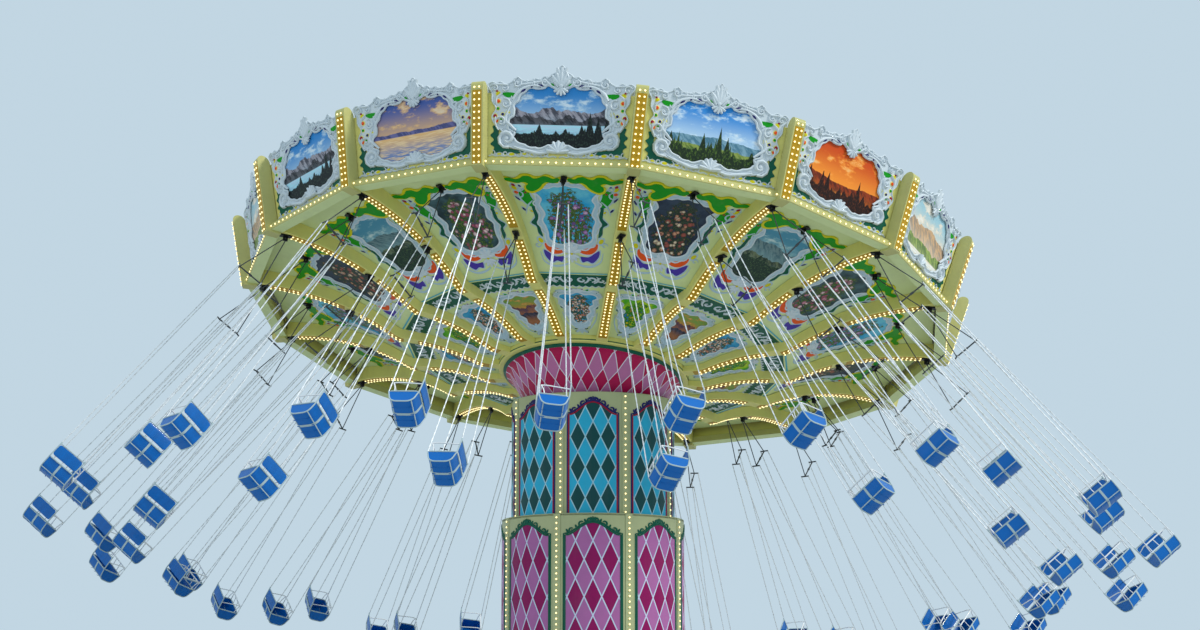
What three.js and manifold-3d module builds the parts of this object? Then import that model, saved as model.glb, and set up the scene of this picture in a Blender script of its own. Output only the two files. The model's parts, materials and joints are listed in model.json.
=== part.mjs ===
// Chair swing ride: a round column whose upper half telescopes, a canopy that tilts and spins on
// top of it, and 48 chairs that hang from the canopy in three rings and fly outward.
// Millimetres, +Z up, origin on the ground at the column's centre. The ride is shown running:
// column raised, canopy tilted, chairs flown out. The chairs travel clockwise seen from above.

import * as THREE from 'three';
import { mergeVertices } from 'three/addons/utils/BufferGeometryUtils.js';
import Module from 'manifold-3d';

const wasm = await Module();
wasm.setup();

const DEG = Math.PI / 180;
const GAP = 0.3;
const EMBED = 1;
const WELD = 0.001;

// Canopy: sixteen sectors round a normal that leans away from the ground's vertical
const SIDES = 16;
const SECTOR = 2 * Math.PI / SIDES;
const HALF_SECTOR = SECTOR / 2;
const FIRST_RIB = -85.5 * DEG;
const PIVOT_HEIGHT = 7400;
const TILT = 14 * DEG;
const TILT_TOWARD = 70.2 * DEG;
const RIM_RISE = 1070;

// Column: a plinth, a lower drum, and an upper drum that slides up and down inside it
const DRUM_SIDES = 32;
const DRUM_PANELS = 8;
const FIRST_STRIP_FACET = 1;
const PLINTH_RADIUS = 1850;
const PLINTH_HEIGHT = 300;
const PLINTH_CHAMFER = 40;
const LOWER_RADIUS = 1608;
const LOWER_TOP = 4850;
const LOWER_WALL = 40;
const LOWER_FLANGE = 40;
const LOWER_FLANGE_BORE = 1485;
const LOWER_STRIP = 130;
const UPPER_RADIUS = 1443;
const UPPER_TOP = 6950;
const UPPER_BOTTOM = 4350;
const UPPER_WALL = 12;
const UPPER_STRIP = 110;
const STRIP_RISE = 15;
const BULKHEAD_TOP = 6380;
const BULKHEAD = 60;

// Lift: a ram under the bulkhead that runs in a cylinder on the plinth
const LIFT_SIDES = 16;
const CYLINDER_RADIUS = 280;
const CYLINDER_BORE = 200;
const CYLINDER_TOP = 4250;
const CYLINDER_FLOOR = 300;
const CYLINDER_FOOT_RADIUS = 392;
const RAM_BOTTOM = 3300;

// Tilt bearing: two ears on the bulkhead hold the axle of the turntable's cradle
const EAR_INSIDE = 300;
const EAR_THICKNESS = 60;
const EAR_BASE = 620;
const EAR_RADIUS = 115;
const AXLE_SIDES = 12;
const AXLE_RADIUS = 70;
const AXLE_HOLE = 74;
const AXLE_LENGTH = 760;
const CRADLE_WIDTH = 340;
const CRADLE_BOTTOM = -150;

// Turntable and canopy hub: the hub's deck turns on the turntable's flange
const DECK_BOTTOM = 250;
const DECK = 60;
const FLANGE_RADIUS = 600;
const FLANGE = 60;
const SPINDLE_RADIUS = 376;
const SPINDLE_TOP = 620;
const HUB_SIDES = 24;
const HUB_BORE = 380;
const HUB_TUBE_RADIUS = 460;
const HUB_TUBE_TOP = 1930;
const HUB_RING_INSIDE = 1590;
const HUB_RING_RADIUS = 1690;

// Capital: the round cone under the hub, with a cornice at its top and its foot in the drum
const CAPITAL_WALL = 25;
const CAPITAL_OUTLINE = [[1594, -GAP], [1594, -35], [1486, -78], [1050, -750]];

// Ribs: two scalloped arches from the rim to the hub, measured from the rim plane
const RIB_WIDTH = 200;
const RIB_START = 6400;
const CUSP_RADIUS = 3500;
const CUSP_DROP = 750;
const ARCH_END = 2000;
const ARCH_END_DROP = 1050;
const RIB_END = 1640;
const RIB_END_DROP = 1065;
const OUTER_ARCH_POWER = 2.4;
const INNER_ARCH_POWER = 2.2;
const DEPTH_AT_RIM = 280;
const DEPTH_AT_CUSP = 170;
const DEPTH_AT_HUB = 100;

// Ceiling and roof skins
const CEILING_EDGE = 6090;
const CEILING_INNER_EDGE = 1726;
const CEILING = 30;
const ARCH_STATIONS = [5300, 4600, 4000, CUSP_RADIUS, 2750, ARCH_END];
const ROOF = 40;
const ROOF_EDGE_RISE = 380;
const ROOF_EYE = 400;
const ROOF_FLAT_RADIUS = 560;
const CAP_OUTLINE = [[0, 60], [260, 90], [520, 60], [560, 0], [500, 0], [0, 0]];

// Rim: boards that lean outward between sixteen pilasters on a bottom rail
const LEAN = 0.2774;
const RAIL_INSIDE = 6120;
const RAIL_RADIUS = 6330;
const RAIL_BOTTOM = -20;
const RAIL_TOP = 100;
const BOARD_RADIUS = 6170;
const BOARD = 50;
const BOARD_RELIEF = 4;
const BOARD_SHOULDER = 1150;
const CREST_RISE = 390;
const CREST_STEPS = 6;
const CREST_POWER = 1.5;
const PILASTER_RADIUS = 6400;
const PILASTER_WIDTH = 200;
const PILASTER_BOTTOM = -60;
const PILASTER_TOP = 1270;
const PILASTER_ARC_STEPS = 4;

// Chairs: how they hang in flight, and where their yokes are
const FLY_OUT = 42 * DEG;
const LAG = 4 * DEG;
const OUTER_RING = 6000;
const MIDDLE_RING = 5350;
const INNER_RING = 4400;
const PIVOT_DROP = 70;
const LUG_RADIUS = 34;
const LUG = 16;
const EAR = 14;
const YOKE_LENGTH = 84;
const YOKE_BELOW = 32;
const YOKE_CROWN = 46;
const YOKE_SEAT_RIB = 102;
const YOKE_SEAT_CEILING = 84;

// Chair, measured along its chains from the pivot: x across, y forward, z up the chains
const SPREADER = 900;
const SPREADER_BAR = 26;
const SPREADER_HALF = 236;
const ROD_FOOT = 25;
const ROD_FORK = 68;
const CROSS_HALF = 85;
const CHAIN = 14;
const SIDE_PLATE = 14;
const SEAT_WIDTH = 500;
const SEAT_FRONT = 220;
const SEAT_BACK = -220;
const BACK_RAKE = 20;
const SEAT_BOTTOM = -5750;
const SEAT_RIM = -5540;
const SEAT_TAPER = 60;
const BACK_TOP = -5250;
const BACKREST_TOP = -5290;
const BACKREST_BOTTOM = -5490;
const BACKREST_REAR = -232;
const BACKREST_FRONT = -218;
const TUB_SHEET = 14;
const LAP_FRAME_TOP = -5340;
const LAP_FRAME_FOOT = 130;
const LAP_BAR = 22;
const LAP_BAR_FRONT = 195;
const HOLE_EASE = 4;

const MATERIALS = {
  cream: new THREE.MeshStandardMaterial({ color: 0xc9c987, roughness: 0.45, metalness: 0.0 }),
  yellow: new THREE.MeshStandardMaterial({ color: 0xd9cc6a, roughness: 0.45, metalness: 0.0 }),
  white: new THREE.MeshStandardMaterial({ color: 0xe6e8ea, roughness: 0.5, metalness: 0.0 }),
  crimson: new THREE.MeshStandardMaterial({ color: 0xa8206a, roughness: 0.45, metalness: 0.0 }),
  lilac: new THREE.MeshStandardMaterial({ color: 0x9a62a8, roughness: 0.45, metalness: 0.0 }),
  teal: new THREE.MeshStandardMaterial({ color: 0x1590b8, roughness: 0.45, metalness: 0.0 }),
  ceiling: new THREE.MeshStandardMaterial({ color: 0xa9b8a4, roughness: 0.6, metalness: 0.0 }),
  roof: new THREE.MeshStandardMaterial({ color: 0xb9bdb2, roughness: 0.7, metalness: 0.0 }),
  steel: new THREE.MeshStandardMaterial({ color: 0x5d6266, roughness: 0.45, metalness: 0.8 }),
  blue: new THREE.MeshStandardMaterial({ color: 0x0e62b0, roughness: 0.4, metalness: 0.1 }),
};

// Solids
function solid(geometry, matrix = new THREE.Matrix4()) {
  const bare = geometry.clone();
  bare.deleteAttribute('normal');
  bare.deleteAttribute('uv');
  bare.applyMatrix4(matrix);
  const merged = mergeVertices(bare, WELD);
  const corners = merged.index.array;
  const kept = [];
  for (let i = 0; i < corners.length; i += 3) {
    const [a, b, c] = [corners[i], corners[i + 1], corners[i + 2]];
    if (a !== b && b !== c && c !== a) {
      kept.push(a, b, c);
    }
  }
  const vertProperties = merged.attributes.position.array;
  const triVerts = new Uint32Array(kept);
  return new wasm.Manifold(new wasm.Mesh({ numProp: 3, vertProperties, triVerts }));
}

function join(solids) {
  return solids.reduce((whole, piece) => whole.add(piece));
}

function geometryOf(body) {
  const mesh = body.getMesh();
  const geometry = new THREE.BufferGeometry();
  const positions = new Float32Array(mesh.vertProperties);
  geometry.setAttribute('position', new THREE.BufferAttribute(positions, 3));
  geometry.setIndex(new THREE.BufferAttribute(new Uint32Array(mesh.triVerts), 1));
  geometry.computeVertexNormals();
  return geometry;
}

function piece(name, body, material) {
  const mesh = new THREE.Mesh(geometryOf(body), MATERIALS[material]);
  mesh.name = name;
  return mesh;
}

// Forms
function counterClockwise(points) {
  return THREE.ShapeUtils.isClockWise(points) ? [...points].reverse() : points;
}

function polar(radius, angle) {
  return new THREE.Vector2(radius * Math.cos(angle), radius * Math.sin(angle));
}

function outlineOf(points) {
  return points.map(([x, y]) => new THREE.Vector2(x, y));
}

function extruded(points, depth, holes = []) {
  const shape = new THREE.Shape(counterClockwise(points));
  holes.forEach((hole) => shape.holes.push(new THREE.Path(hole)));
  return new THREE.ExtrudeGeometry(shape, { depth, bevelEnabled: false });
}

function polygon(radius, sides, start = 0) {
  return Array.from({ length: sides }, (_, i) => polar(radius, start + i * 2 * Math.PI / sides));
}

// A closed profile of [radius, height] turned round Z, with its corners at the given angle
function turned(profile, sides, cornerAngle = 0) {
  const points = counterClockwise(outlineOf(profile));
  const geometry = new THREE.LatheGeometry([...points, points[0]], sides, cornerAngle + Math.PI / 2);
  return geometry.rotateX(Math.PI / 2);
}

function tube(outer, inner, bottom, top, sides) {
  const start = Math.PI / sides;
  const holes = inner > 0 ? [polygon(inner, sides, start)] : [];
  return extruded(polygon(outer, sides, start), top - bottom, holes).translate(0, 0, bottom);
}

function box(x0, x1, y0, y1, z0, z1) {
  const geometry = new THREE.BoxGeometry(x1 - x0, y1 - y0, z1 - z0);
  return geometry.translate((x0 + x1) / 2, (y0 + y1) / 2, (z0 + z1) / 2);
}

// A plate whose outline lies in the plane of two axes and whose thickness is centred on it
function plate(points, thickness, across, up, holes = []) {
  const normal = new THREE.Vector3().crossVectors(across, up);
  const geometry = extruded(outlineOf(points), thickness, holes.map(outlineOf));
  geometry.translate(0, 0, -thickness / 2);
  return geometry.applyMatrix4(new THREE.Matrix4().makeBasis(across, up, normal));
}

const X = new THREE.Vector3(1, 0, 0);
const Y = new THREE.Vector3(0, 1, 0);
const Z = new THREE.Vector3(0, 0, 1);

// Column
// A drum wall: a polygon with a raised flat strip between each two of its eight panels
function drumOutline(radius, stripWidth) {
  const facet = 2 * Math.PI / DRUM_SIDES;
  const facetsPerPanel = DRUM_SIDES / DRUM_PANELS;
  const start = (facet - Math.PI) / 2;
  const points = [];
  for (let i = 0; i < DRUM_SIDES; i += 1) {
    const here = polar(radius, start + i * facet);
    points.push(here);
    if (i % facetsPerPanel === FIRST_STRIP_FACET) {
      const next = polar(radius, start + (i + 1) * facet);
      const middle = here.clone().add(next).multiplyScalar(0.5);
      const along = next.clone().sub(here).normalize().multiplyScalar(stripWidth / 2);
      const outward = middle.clone().normalize().multiplyScalar(STRIP_RISE);
      points.push(middle.clone().sub(along));
      points.push(middle.clone().sub(along).add(outward));
      points.push(middle.clone().add(along).add(outward));
      points.push(middle.clone().add(along));
    }
  }
  return points;
}

function drumWall(radius, stripWidth, bore, bottom, top) {
  const hole = polygon(bore, DRUM_SIDES, Math.PI / DRUM_SIDES);
  return extruded(drumOutline(radius, stripWidth), top - bottom, [hole]).translate(0, 0, bottom);
}

function plinth() {
  const profile = [
    [0, 0],
    [PLINTH_RADIUS, 0],
    [PLINTH_RADIUS, PLINTH_HEIGHT - PLINTH_CHAMFER],
    [PLINTH_RADIUS - PLINTH_CHAMFER, PLINTH_HEIGHT],
    [0, PLINTH_HEIGHT],
  ];
  return solid(turned(profile, DRUM_SIDES));
}

function lowerDrum() {
  const bottom = PLINTH_HEIGHT + GAP;
  const wall = drumWall(LOWER_RADIUS, LOWER_STRIP, LOWER_RADIUS - LOWER_WALL, bottom, LOWER_TOP);
  const flangeBottom = LOWER_TOP - LOWER_FLANGE;
  const flange = tube(LOWER_RADIUS - STRIP_RISE, LOWER_FLANGE_BORE, flangeBottom, LOWER_TOP, DRUM_SIDES);
  return join([solid(wall), solid(flange)]);
}

function liftCylinder() {
  const bottom = PLINTH_HEIGHT + GAP;
  const floor = bottom + CYLINDER_FLOOR;
  const foot = tube(CYLINDER_FOOT_RADIUS, 0, bottom, floor, LIFT_SIDES);
  const barrel = tube(CYLINDER_RADIUS, CYLINDER_BORE, floor - EMBED, CYLINDER_TOP, LIFT_SIDES);
  return join([solid(foot), solid(barrel)]);
}

const tiltAxis = new THREE.Vector3(-Math.sin(TILT_TOWARD), Math.cos(TILT_TOWARD), 0);
const tiltSide = new THREE.Vector3(Math.cos(TILT_TOWARD), Math.sin(TILT_TOWARD), 0);

// An ear that stands on the bulkhead, in the plane across the tilt axis, round at the top
function ear(offset) {
  const foot = BULKHEAD_TOP - PIVOT_HEIGHT - EMBED;
  const points = [[-EAR_BASE / 2, foot], [EAR_BASE / 2, foot]];
  const steps = AXLE_SIDES / 2;
  for (let i = 0; i <= steps; i += 1) {
    const angle = i * Math.PI / steps;
    points.push([EAR_RADIUS * Math.cos(angle), EAR_RADIUS * Math.sin(angle)]);
  }
  const hole = polygon(AXLE_HOLE, AXLE_SIDES).map((p) => [p.x, p.y]);
  const geometry = plate(points, EAR_THICKNESS, tiltSide, Z, [hole]);
  const shift = tiltAxis.clone().multiplyScalar(offset);
  return geometry.translate(shift.x, shift.y, PIVOT_HEIGHT);
}

function upperDrum() {
  const wall = drumWall(UPPER_RADIUS, UPPER_STRIP, UPPER_RADIUS - UPPER_WALL, UPPER_BOTTOM, UPPER_TOP);
  const bulkheadBottom = BULKHEAD_TOP - BULKHEAD;
  const bulkhead = tube(UPPER_RADIUS - UPPER_WALL / 2, 0, bulkheadBottom, BULKHEAD_TOP, DRUM_SIDES);
  const ram = tube(CYLINDER_BORE - GAP, 0, RAM_BOTTOM, bulkheadBottom + EMBED, LIFT_SIDES);
  const offset = EAR_INSIDE + EAR_THICKNESS / 2;
  return join([solid(wall), solid(bulkhead), solid(ram), solid(ear(offset)), solid(ear(-offset))]);
}

// Turntable, in the canopy's frame: origin at the tilt pivot, Z along the canopy's normal
function turntable() {
  const axle = extruded(polygon(AXLE_RADIUS, AXLE_SIDES), AXLE_LENGTH);
  axle.translate(0, 0, -AXLE_LENGTH / 2);
  axle.applyMatrix4(new THREE.Matrix4().makeBasis(tiltSide, Z, tiltAxis.clone().negate()));
  const cradleLength = 2 * (EAR_INSIDE - GAP);
  const half = CRADLE_WIDTH / 2;
  const flangeBottom = DECK_BOTTOM - GAP - FLANGE;
  const cradleTop = flangeBottom + EMBED;
  const outline = [[-half, CRADLE_BOTTOM], [half, CRADLE_BOTTOM], [half, cradleTop], [-half, cradleTop]];
  const cradle = plate(outline, cradleLength, tiltSide, Z);
  const flange = tube(FLANGE_RADIUS, 0, flangeBottom, DECK_BOTTOM - GAP, HUB_SIDES);
  const spindle = tube(SPINDLE_RADIUS, 0, flangeBottom + FLANGE / 2, SPINDLE_TOP, HUB_SIDES);
  return join([axle, cradle, flange, spindle].map((geometry) => solid(geometry)));
}

// Capital
function capital() {
  const inner = CAPITAL_OUTLINE.map(([radius, height]) => [radius - CAPITAL_WALL, height]).reverse();
  return solid(turned([...CAPITAL_OUTLINE, ...inner], DRUM_SIDES));
}

// Ribs and ceiling
function archDrop(radius) {
  if (radius >= CUSP_RADIUS) {
    const reach = (RIB_START - radius) / (RIB_START - CUSP_RADIUS);
    return CUSP_DROP * reach ** OUTER_ARCH_POWER;
  }
  if (radius >= ARCH_END) {
    const reach = (CUSP_RADIUS - radius) / (CUSP_RADIUS - ARCH_END);
    return CUSP_DROP + (ARCH_END_DROP - CUSP_DROP) * reach ** INNER_ARCH_POWER;
  }
  const reach = (ARCH_END - radius) / (ARCH_END - RIB_END);
  return ARCH_END_DROP + (RIB_END_DROP - ARCH_END_DROP) * reach;
}

function ribDepth(radius) {
  if (radius >= CUSP_RADIUS) {
    const share = (radius - CUSP_RADIUS) / (RIB_START - CUSP_RADIUS);
    return DEPTH_AT_CUSP + (DEPTH_AT_RIM - DEPTH_AT_CUSP) * share;
  }
  const share = (radius - RIB_END) / (CUSP_RADIUS - RIB_END);
  return DEPTH_AT_HUB + (DEPTH_AT_CUSP - DEPTH_AT_HUB) * share;
}

function ribBottom(radius) {
  return RIM_RISE - archDrop(radius);
}

function ceilingBottom(radius) {
  return ribBottom(radius) + ribDepth(radius);
}

const ceilingStations = [CEILING_EDGE, ...ARCH_STATIONS, CEILING_INNER_EDGE];

// Height of the faceted ceiling's underside over a rib line
function facetedCeiling(radius) {
  const i = ceilingStations.findIndex((station) => station <= radius);
  const [outer, inner] = [ceilingStations[i - 1], ceilingStations[i]];
  const share = (radius - inner) / (outer - inner);
  return ceilingBottom(inner) + share * (ceilingBottom(outer) - ceilingBottom(inner));
}

function rib() {
  const tip = RAIL_INSIDE - RIB_WIDTH / 2 * Math.tan(HALF_SECTOR) - GAP;
  const stations = [tip, ...ceilingStations, RIB_END];
  const lower = stations.map((radius) => [radius, ribBottom(radius)]);
  const upper = stations.map((radius) => [radius, ceilingBottom(radius) - GAP]).reverse();
  upper[upper.length - 1][1] = ceilingBottom(CEILING_EDGE) - GAP;
  return plate([...lower, ...upper], RIB_WIDTH, X, Z);
}

// Where each chair's yoke sits, in the canopy's frame
function yokeSeat(ring, index) {
  if (ring === MIDDLE_RING) {
    const surface = facetedCeiling(MIDDLE_RING / Math.cos(HALF_SECTOR));
    return { radius: ring, angle: FIRST_RIB + (index + 0.5) * SECTOR, surface };
  }
  return { radius: ring, angle: FIRST_RIB + index * SECTOR, surface: ribBottom(ring) };
}

const canopyFrame = new THREE.Matrix4().makeRotationAxis(tiltAxis, TILT);
canopyFrame.setPosition(0, 0, PIVOT_HEIGHT);
const canopyTurn = new THREE.Quaternion().setFromAxisAngle(tiltAxis, TILT);
const canopyDown = Z.clone().applyQuaternion(canopyTurn).negate();

// A chair's frame: at its pivot, Z up the chains, Y along the hinge axis and the way it travels
function chairFrame(ring, index) {
  const seat = yokeSeat(ring, index);
  const spot = polar(seat.radius, seat.angle);
  const pivot = new THREE.Vector3(spot.x, spot.y, seat.surface - PIVOT_DROP).applyMatrix4(canopyFrame);
  const outward = new THREE.Vector3(pivot.x, pivot.y, 0).normalize();
  const behind = new THREE.Vector3().crossVectors(Z, outward);
  const away = outward.multiplyScalar(Math.cos(LAG)).addScaledVector(behind, Math.sin(LAG));
  const chains = away.multiplyScalar(Math.sin(FLY_OUT)).addScaledVector(Z, -Math.cos(FLY_OUT));
  const hinge = new THREE.Vector3().crossVectors(canopyDown, chains).normalize();
  const up = chains.clone().negate();
  const across = new THREE.Vector3().crossVectors(hinge, up);
  return new THREE.Matrix4().makeBasis(across, hinge, up).setPosition(pivot);
}

// A yoke in the canopy's frame: two ears across the hinge axis, under a crown on the rib or ceiling
function yoke(ring, index, seatHeight) {
  const inside = LUG / 2 + GAP;
  const outside = inside + EAR;
  const outline = [
    [-outside, -YOKE_BELOW],
    [-inside, -YOKE_BELOW],
    [-inside, YOKE_CROWN],
    [inside, YOKE_CROWN],
    [inside, -YOKE_BELOW],
    [outside, -YOKE_BELOW],
    [outside, seatHeight],
    [-outside, seatHeight],
  ];
  const frame = chairFrame(ring, index);
  const local = canopyFrame.clone().invert().multiply(frame);
  const hinge = new THREE.Vector3().setFromMatrixColumn(local, 1);
  const place = new THREE.Vector3().setFromMatrixPosition(local);
  return plate(outline, YOKE_LENGTH, hinge, Z).translate(place.x, place.y, place.z);
}

function indices() {
  return Array.from({ length: SIDES }, (_, i) => i);
}

function canopyRibs() {
  const ribPlate = rib();
  const ribs = indices().map((i) => solid(ribPlate, new THREE.Matrix4().makeRotationZ(FIRST_RIB + i * SECTOR)));
  const hubRing = tube(HUB_RING_RADIUS, HUB_RING_INSIDE, 0, DECK_BOTTOM + DECK, HUB_SIDES);
  const deckTop = DECK_BOTTOM + DECK;
  const deck = tube(HUB_RING_INSIDE + EMBED, HUB_BORE, DECK_BOTTOM, deckTop, HUB_SIDES);
  const hubTube = tube(HUB_TUBE_RADIUS, HUB_BORE, deckTop - EMBED, HUB_TUBE_TOP, HUB_SIDES);
  const outerYokes = indices().map((i) => solid(yoke(OUTER_RING, i, YOKE_SEAT_RIB)));
  const innerYokes = indices().map((i) => solid(yoke(INNER_RING, i, YOKE_SEAT_RIB)));
  return join([solid(hubRing), solid(deck), solid(hubTube), ...ribs, ...outerYokes, ...innerYokes]);
}

function canopyCeiling() {
  const lower = ceilingStations.map((radius) => [radius, ceilingBottom(radius)]);
  const upper = ceilingStations.map((radius) => [radius, ceilingBottom(radius) + CEILING]).reverse();
  const skin = turned([...lower, ...upper], SIDES, FIRST_RIB);
  const yokes = indices().map((i) => solid(yoke(MIDDLE_RING, i, YOKE_SEAT_CEILING)));
  return join([solid(skin), ...yokes]);
}

function boardRadius(height) {
  return BOARD_RADIUS + height * LEAN;
}

// Corner radius of the boards' inner face
function boardInside(height) {
  const midLean = LEAN * Math.cos(HALF_SECTOR);
  return boardRadius(height) - BOARD * Math.hypot(1, midLean) / Math.cos(HALF_SECTOR);
}

function canopyRoof() {
  const edge = boardInside(ROOF_EDGE_RISE) - GAP;
  const edgeHeight = RIM_RISE + ROOF_EDGE_RISE;
  const eyeHeight = HUB_TUBE_TOP + GAP;
  const profile = [
    [edge, edgeHeight],
    [edge, edgeHeight + ROOF],
    [ROOF_FLAT_RADIUS, eyeHeight + ROOF],
    [ROOF_EYE, eyeHeight + ROOF],
    [ROOF_EYE, eyeHeight],
    [ROOF_FLAT_RADIUS, eyeHeight],
  ];
  return solid(turned(profile, SIDES, FIRST_RIB));
}

function roofCap() {
  const base = HUB_TUBE_TOP + GAP + ROOF + GAP;
  const profile = CAP_OUTLINE.map(([radius, height]) => [radius, base + height]);
  return solid(turned(profile, HUB_SIDES));
}

// One rim board: its front face leans outward, its top edge rises to a crest at the middle
function board(index) {
  const slope = Math.hypot(1, LEAN);
  const chordShare = Math.sin(HALF_SECTOR);
  const bottom = RAIL_TOP + GAP;
  const halfFoot = boardRadius(bottom) * chordShare - BOARD_RELIEF;
  const halfTop = boardRadius(BOARD_SHOULDER) * chordShare - BOARD_RELIEF;
  const points = [[-halfFoot, bottom * slope], [halfFoot, bottom * slope]];
  for (let i = 0; i <= CREST_STEPS; i += 1) {
    const share = 1 - 2 * i / CREST_STEPS;
    const rise = CREST_RISE * Math.cos(share * Math.PI / 2) ** CREST_POWER;
    points.push([share * halfTop, (BOARD_SHOULDER + rise) * slope]);
  }
  const middle = FIRST_RIB + (index + 0.5) * SECTOR;
  const across = new THREE.Vector3(-Math.sin(middle), Math.cos(middle), 0);
  const leanShare = LEAN * Math.cos(HALF_SECTOR);
  const outward = new THREE.Vector3(Math.cos(middle), Math.sin(middle), 0);
  const up = outward.clone().multiplyScalar(leanShare).add(Z).normalize();
  const scale = Math.hypot(1, leanShare) / slope;
  const flat = points.map(([x, y]) => [x, y * scale]);
  const foot = outward.clone().multiplyScalar(BOARD_RADIUS * Math.cos(HALF_SECTOR));
  const geometry = plate(flat, BOARD, across, up);
  const inward = new THREE.Vector3().crossVectors(across, up).multiplyScalar(-BOARD / 2);
  const shift = foot.add(inward);
  return geometry.translate(shift.x, shift.y, RIM_RISE + shift.z);
}

function roundingBoards() {
  return join(indices().map((i) => solid(board(i))));
}

// One pilaster: a box fin with a rounded top, from its outline in the plane of a rib
function pilaster() {
  const front = (height) => PILASTER_RADIUS + height * LEAN;
  const back = (height) => BOARD_RADIUS + GAP + height * LEAN;
  const half = (PILASTER_RADIUS - BOARD_RADIUS - GAP) / 2;
  const arcBase = PILASTER_TOP - half;
  const points = [[RAIL_INSIDE, PILASTER_BOTTOM], [front(PILASTER_BOTTOM), PILASTER_BOTTOM]];
  for (let i = 0; i <= PILASTER_ARC_STEPS; i += 1) {
    const angle = i * Math.PI / PILASTER_ARC_STEPS;
    const height = arcBase + half * Math.sin(angle);
    points.push([front(height) - half + half * Math.cos(angle), height]);
  }
  points.push([back(RAIL_TOP + GAP), RAIL_TOP + GAP]);
  points.push([back(RAIL_TOP + GAP), RAIL_TOP - GAP]);
  points.push([RAIL_INSIDE, RAIL_TOP - GAP]);
  const raised = points.map(([radius, height]) => [radius, RIM_RISE + height]);
  return plate(raised, PILASTER_WIDTH, X, Z);
}

function cornerPilasters() {
  const railProfile = [
    [RAIL_INSIDE, RIM_RISE + RAIL_BOTTOM],
    [RAIL_RADIUS, RIM_RISE + RAIL_BOTTOM],
    [RAIL_RADIUS, RIM_RISE + RAIL_TOP],
    [RAIL_INSIDE, RIM_RISE + RAIL_TOP],
  ];
  const rail = solid(turned(railProfile, SIDES, FIRST_RIB));
  const fin = pilaster();
  const fins = indices().map((i) => solid(fin, new THREE.Matrix4().makeRotationZ(FIRST_RIB + i * SECTOR)));
  return join([rail, ...fins]);
}

// Chair
// The hanger: two rods from the lug at the pivot to the ends of the spreader bar
function hanger() {
  const barBottom = -SPREADER - SPREADER_BAR;
  const lugHalf = LUG_RADIUS * Math.SQRT1_2;
  const outer = [
    [-lugHalf, lugHalf],
    [-SPREADER_HALF, -SPREADER],
    [-SPREADER_HALF, barBottom],
    [SPREADER_HALF, barBottom],
    [SPREADER_HALF, -SPREADER],
    [lugHalf, lugHalf],
  ];
  const hole = [
    [0, -ROD_FORK],
    [SPREADER_HALF - ROD_FOOT, -SPREADER + HOLE_EASE],
    [-SPREADER_HALF + ROD_FOOT, -SPREADER + HOLE_EASE],
  ];
  return plate(outer, LUG, X, Z, [hole]);
}

// One side: the short cross piece, the two chains and the side of the seat with its rear post
function chairSide(offset) {
  const top = -SPREADER;
  const under = top - SPREADER_BAR;
  const outer = [
    [-CROSS_HALF, top],
    [CROSS_HALF, top],
    [SEAT_FRONT, SEAT_RIM],
    [SEAT_FRONT - SEAT_TAPER, SEAT_BOTTOM],
    [SEAT_BACK + SEAT_TAPER, SEAT_BOTTOM],
    [SEAT_BACK, SEAT_RIM],
    [SEAT_BACK - BACK_RAKE, BACK_TOP],
  ];
  const hole = [
    [-CROSS_HALF + CHAIN, under - HOLE_EASE],
    [CROSS_HALF - CHAIN, under - HOLE_EASE],
    [SEAT_FRONT - 2 * CHAIN, LAP_FRAME_TOP],
    [LAP_FRAME_FOOT, SEAT_RIM + 2 * HOLE_EASE],
    [SEAT_BACK + CHAIN, SEAT_RIM + HOLE_EASE],
    [SEAT_BACK - BACK_RAKE + CHAIN, BACK_TOP],
  ];
  return plate(outer, SIDE_PLATE, Y, Z, [hole]).translate(offset, 0, 0);
}

// The tub: front wall, bottom and rear wall bent from one sheet between the two sides
function tub() {
  const outer = [
    [SEAT_FRONT, SEAT_RIM],
    [SEAT_FRONT - SEAT_TAPER, SEAT_BOTTOM],
    [SEAT_BACK + SEAT_TAPER, SEAT_BOTTOM],
    [SEAT_BACK, SEAT_RIM],
  ];
  const inner = outer.map(([y, z]) => [y - Math.sign(y) * TUB_SHEET, Math.max(z, SEAT_BOTTOM + TUB_SHEET)]);
  return plate([...outer, ...inner.reverse()], SEAT_WIDTH - SIDE_PLATE, Y, Z);
}

function chair() {
  const sideAt = (SEAT_WIDTH - SIDE_PLATE) / 2;
  const half = SEAT_WIDTH / 2 - SIDE_PLATE + EMBED;
  const backrest = box(-half, half, BACKREST_REAR, BACKREST_FRONT, BACKREST_BOTTOM, BACKREST_TOP);
  const barTop = LAP_FRAME_TOP - LAP_BAR / 2;
  const lapBar = box(-half, half, LAP_BAR_FRONT - LAP_BAR, LAP_BAR_FRONT, barTop - LAP_BAR, barTop);
  const parts = [hanger(), chairSide(sideAt), chairSide(-sideAt), tub(), backrest, lapBar];
  return join(parts.map((geometry) => solid(geometry)));
}

// Assembly
const canopy = new THREE.Group();
canopy.applyMatrix4(canopyFrame);
canopy.add(
  piece('tilt_turntable', turntable(), 'steel'),
  piece('capital_cone', capital(), 'crimson'),
  piece('canopy_ribs', canopyRibs(), 'cream'),
  piece('canopy_ceiling', canopyCeiling(), 'ceiling'),
  piece('canopy_roof', canopyRoof(), 'roof'),
  piece('roof_cap', roofCap(), 'cream'),
  piece('rounding_boards', roundingBoards(), 'white'),
  piece('corner_pilasters', cornerPilasters(), 'yellow'),
);

const ride = new THREE.Group();
ride.add(
  piece('base_plinth', plinth(), 'cream'),
  piece('lower_drum', lowerDrum(), 'lilac'),
  piece('lift_cylinder', liftCylinder(), 'steel'),
  piece('upper_drum', upperDrum(), 'teal'),
  canopy,
);

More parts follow.
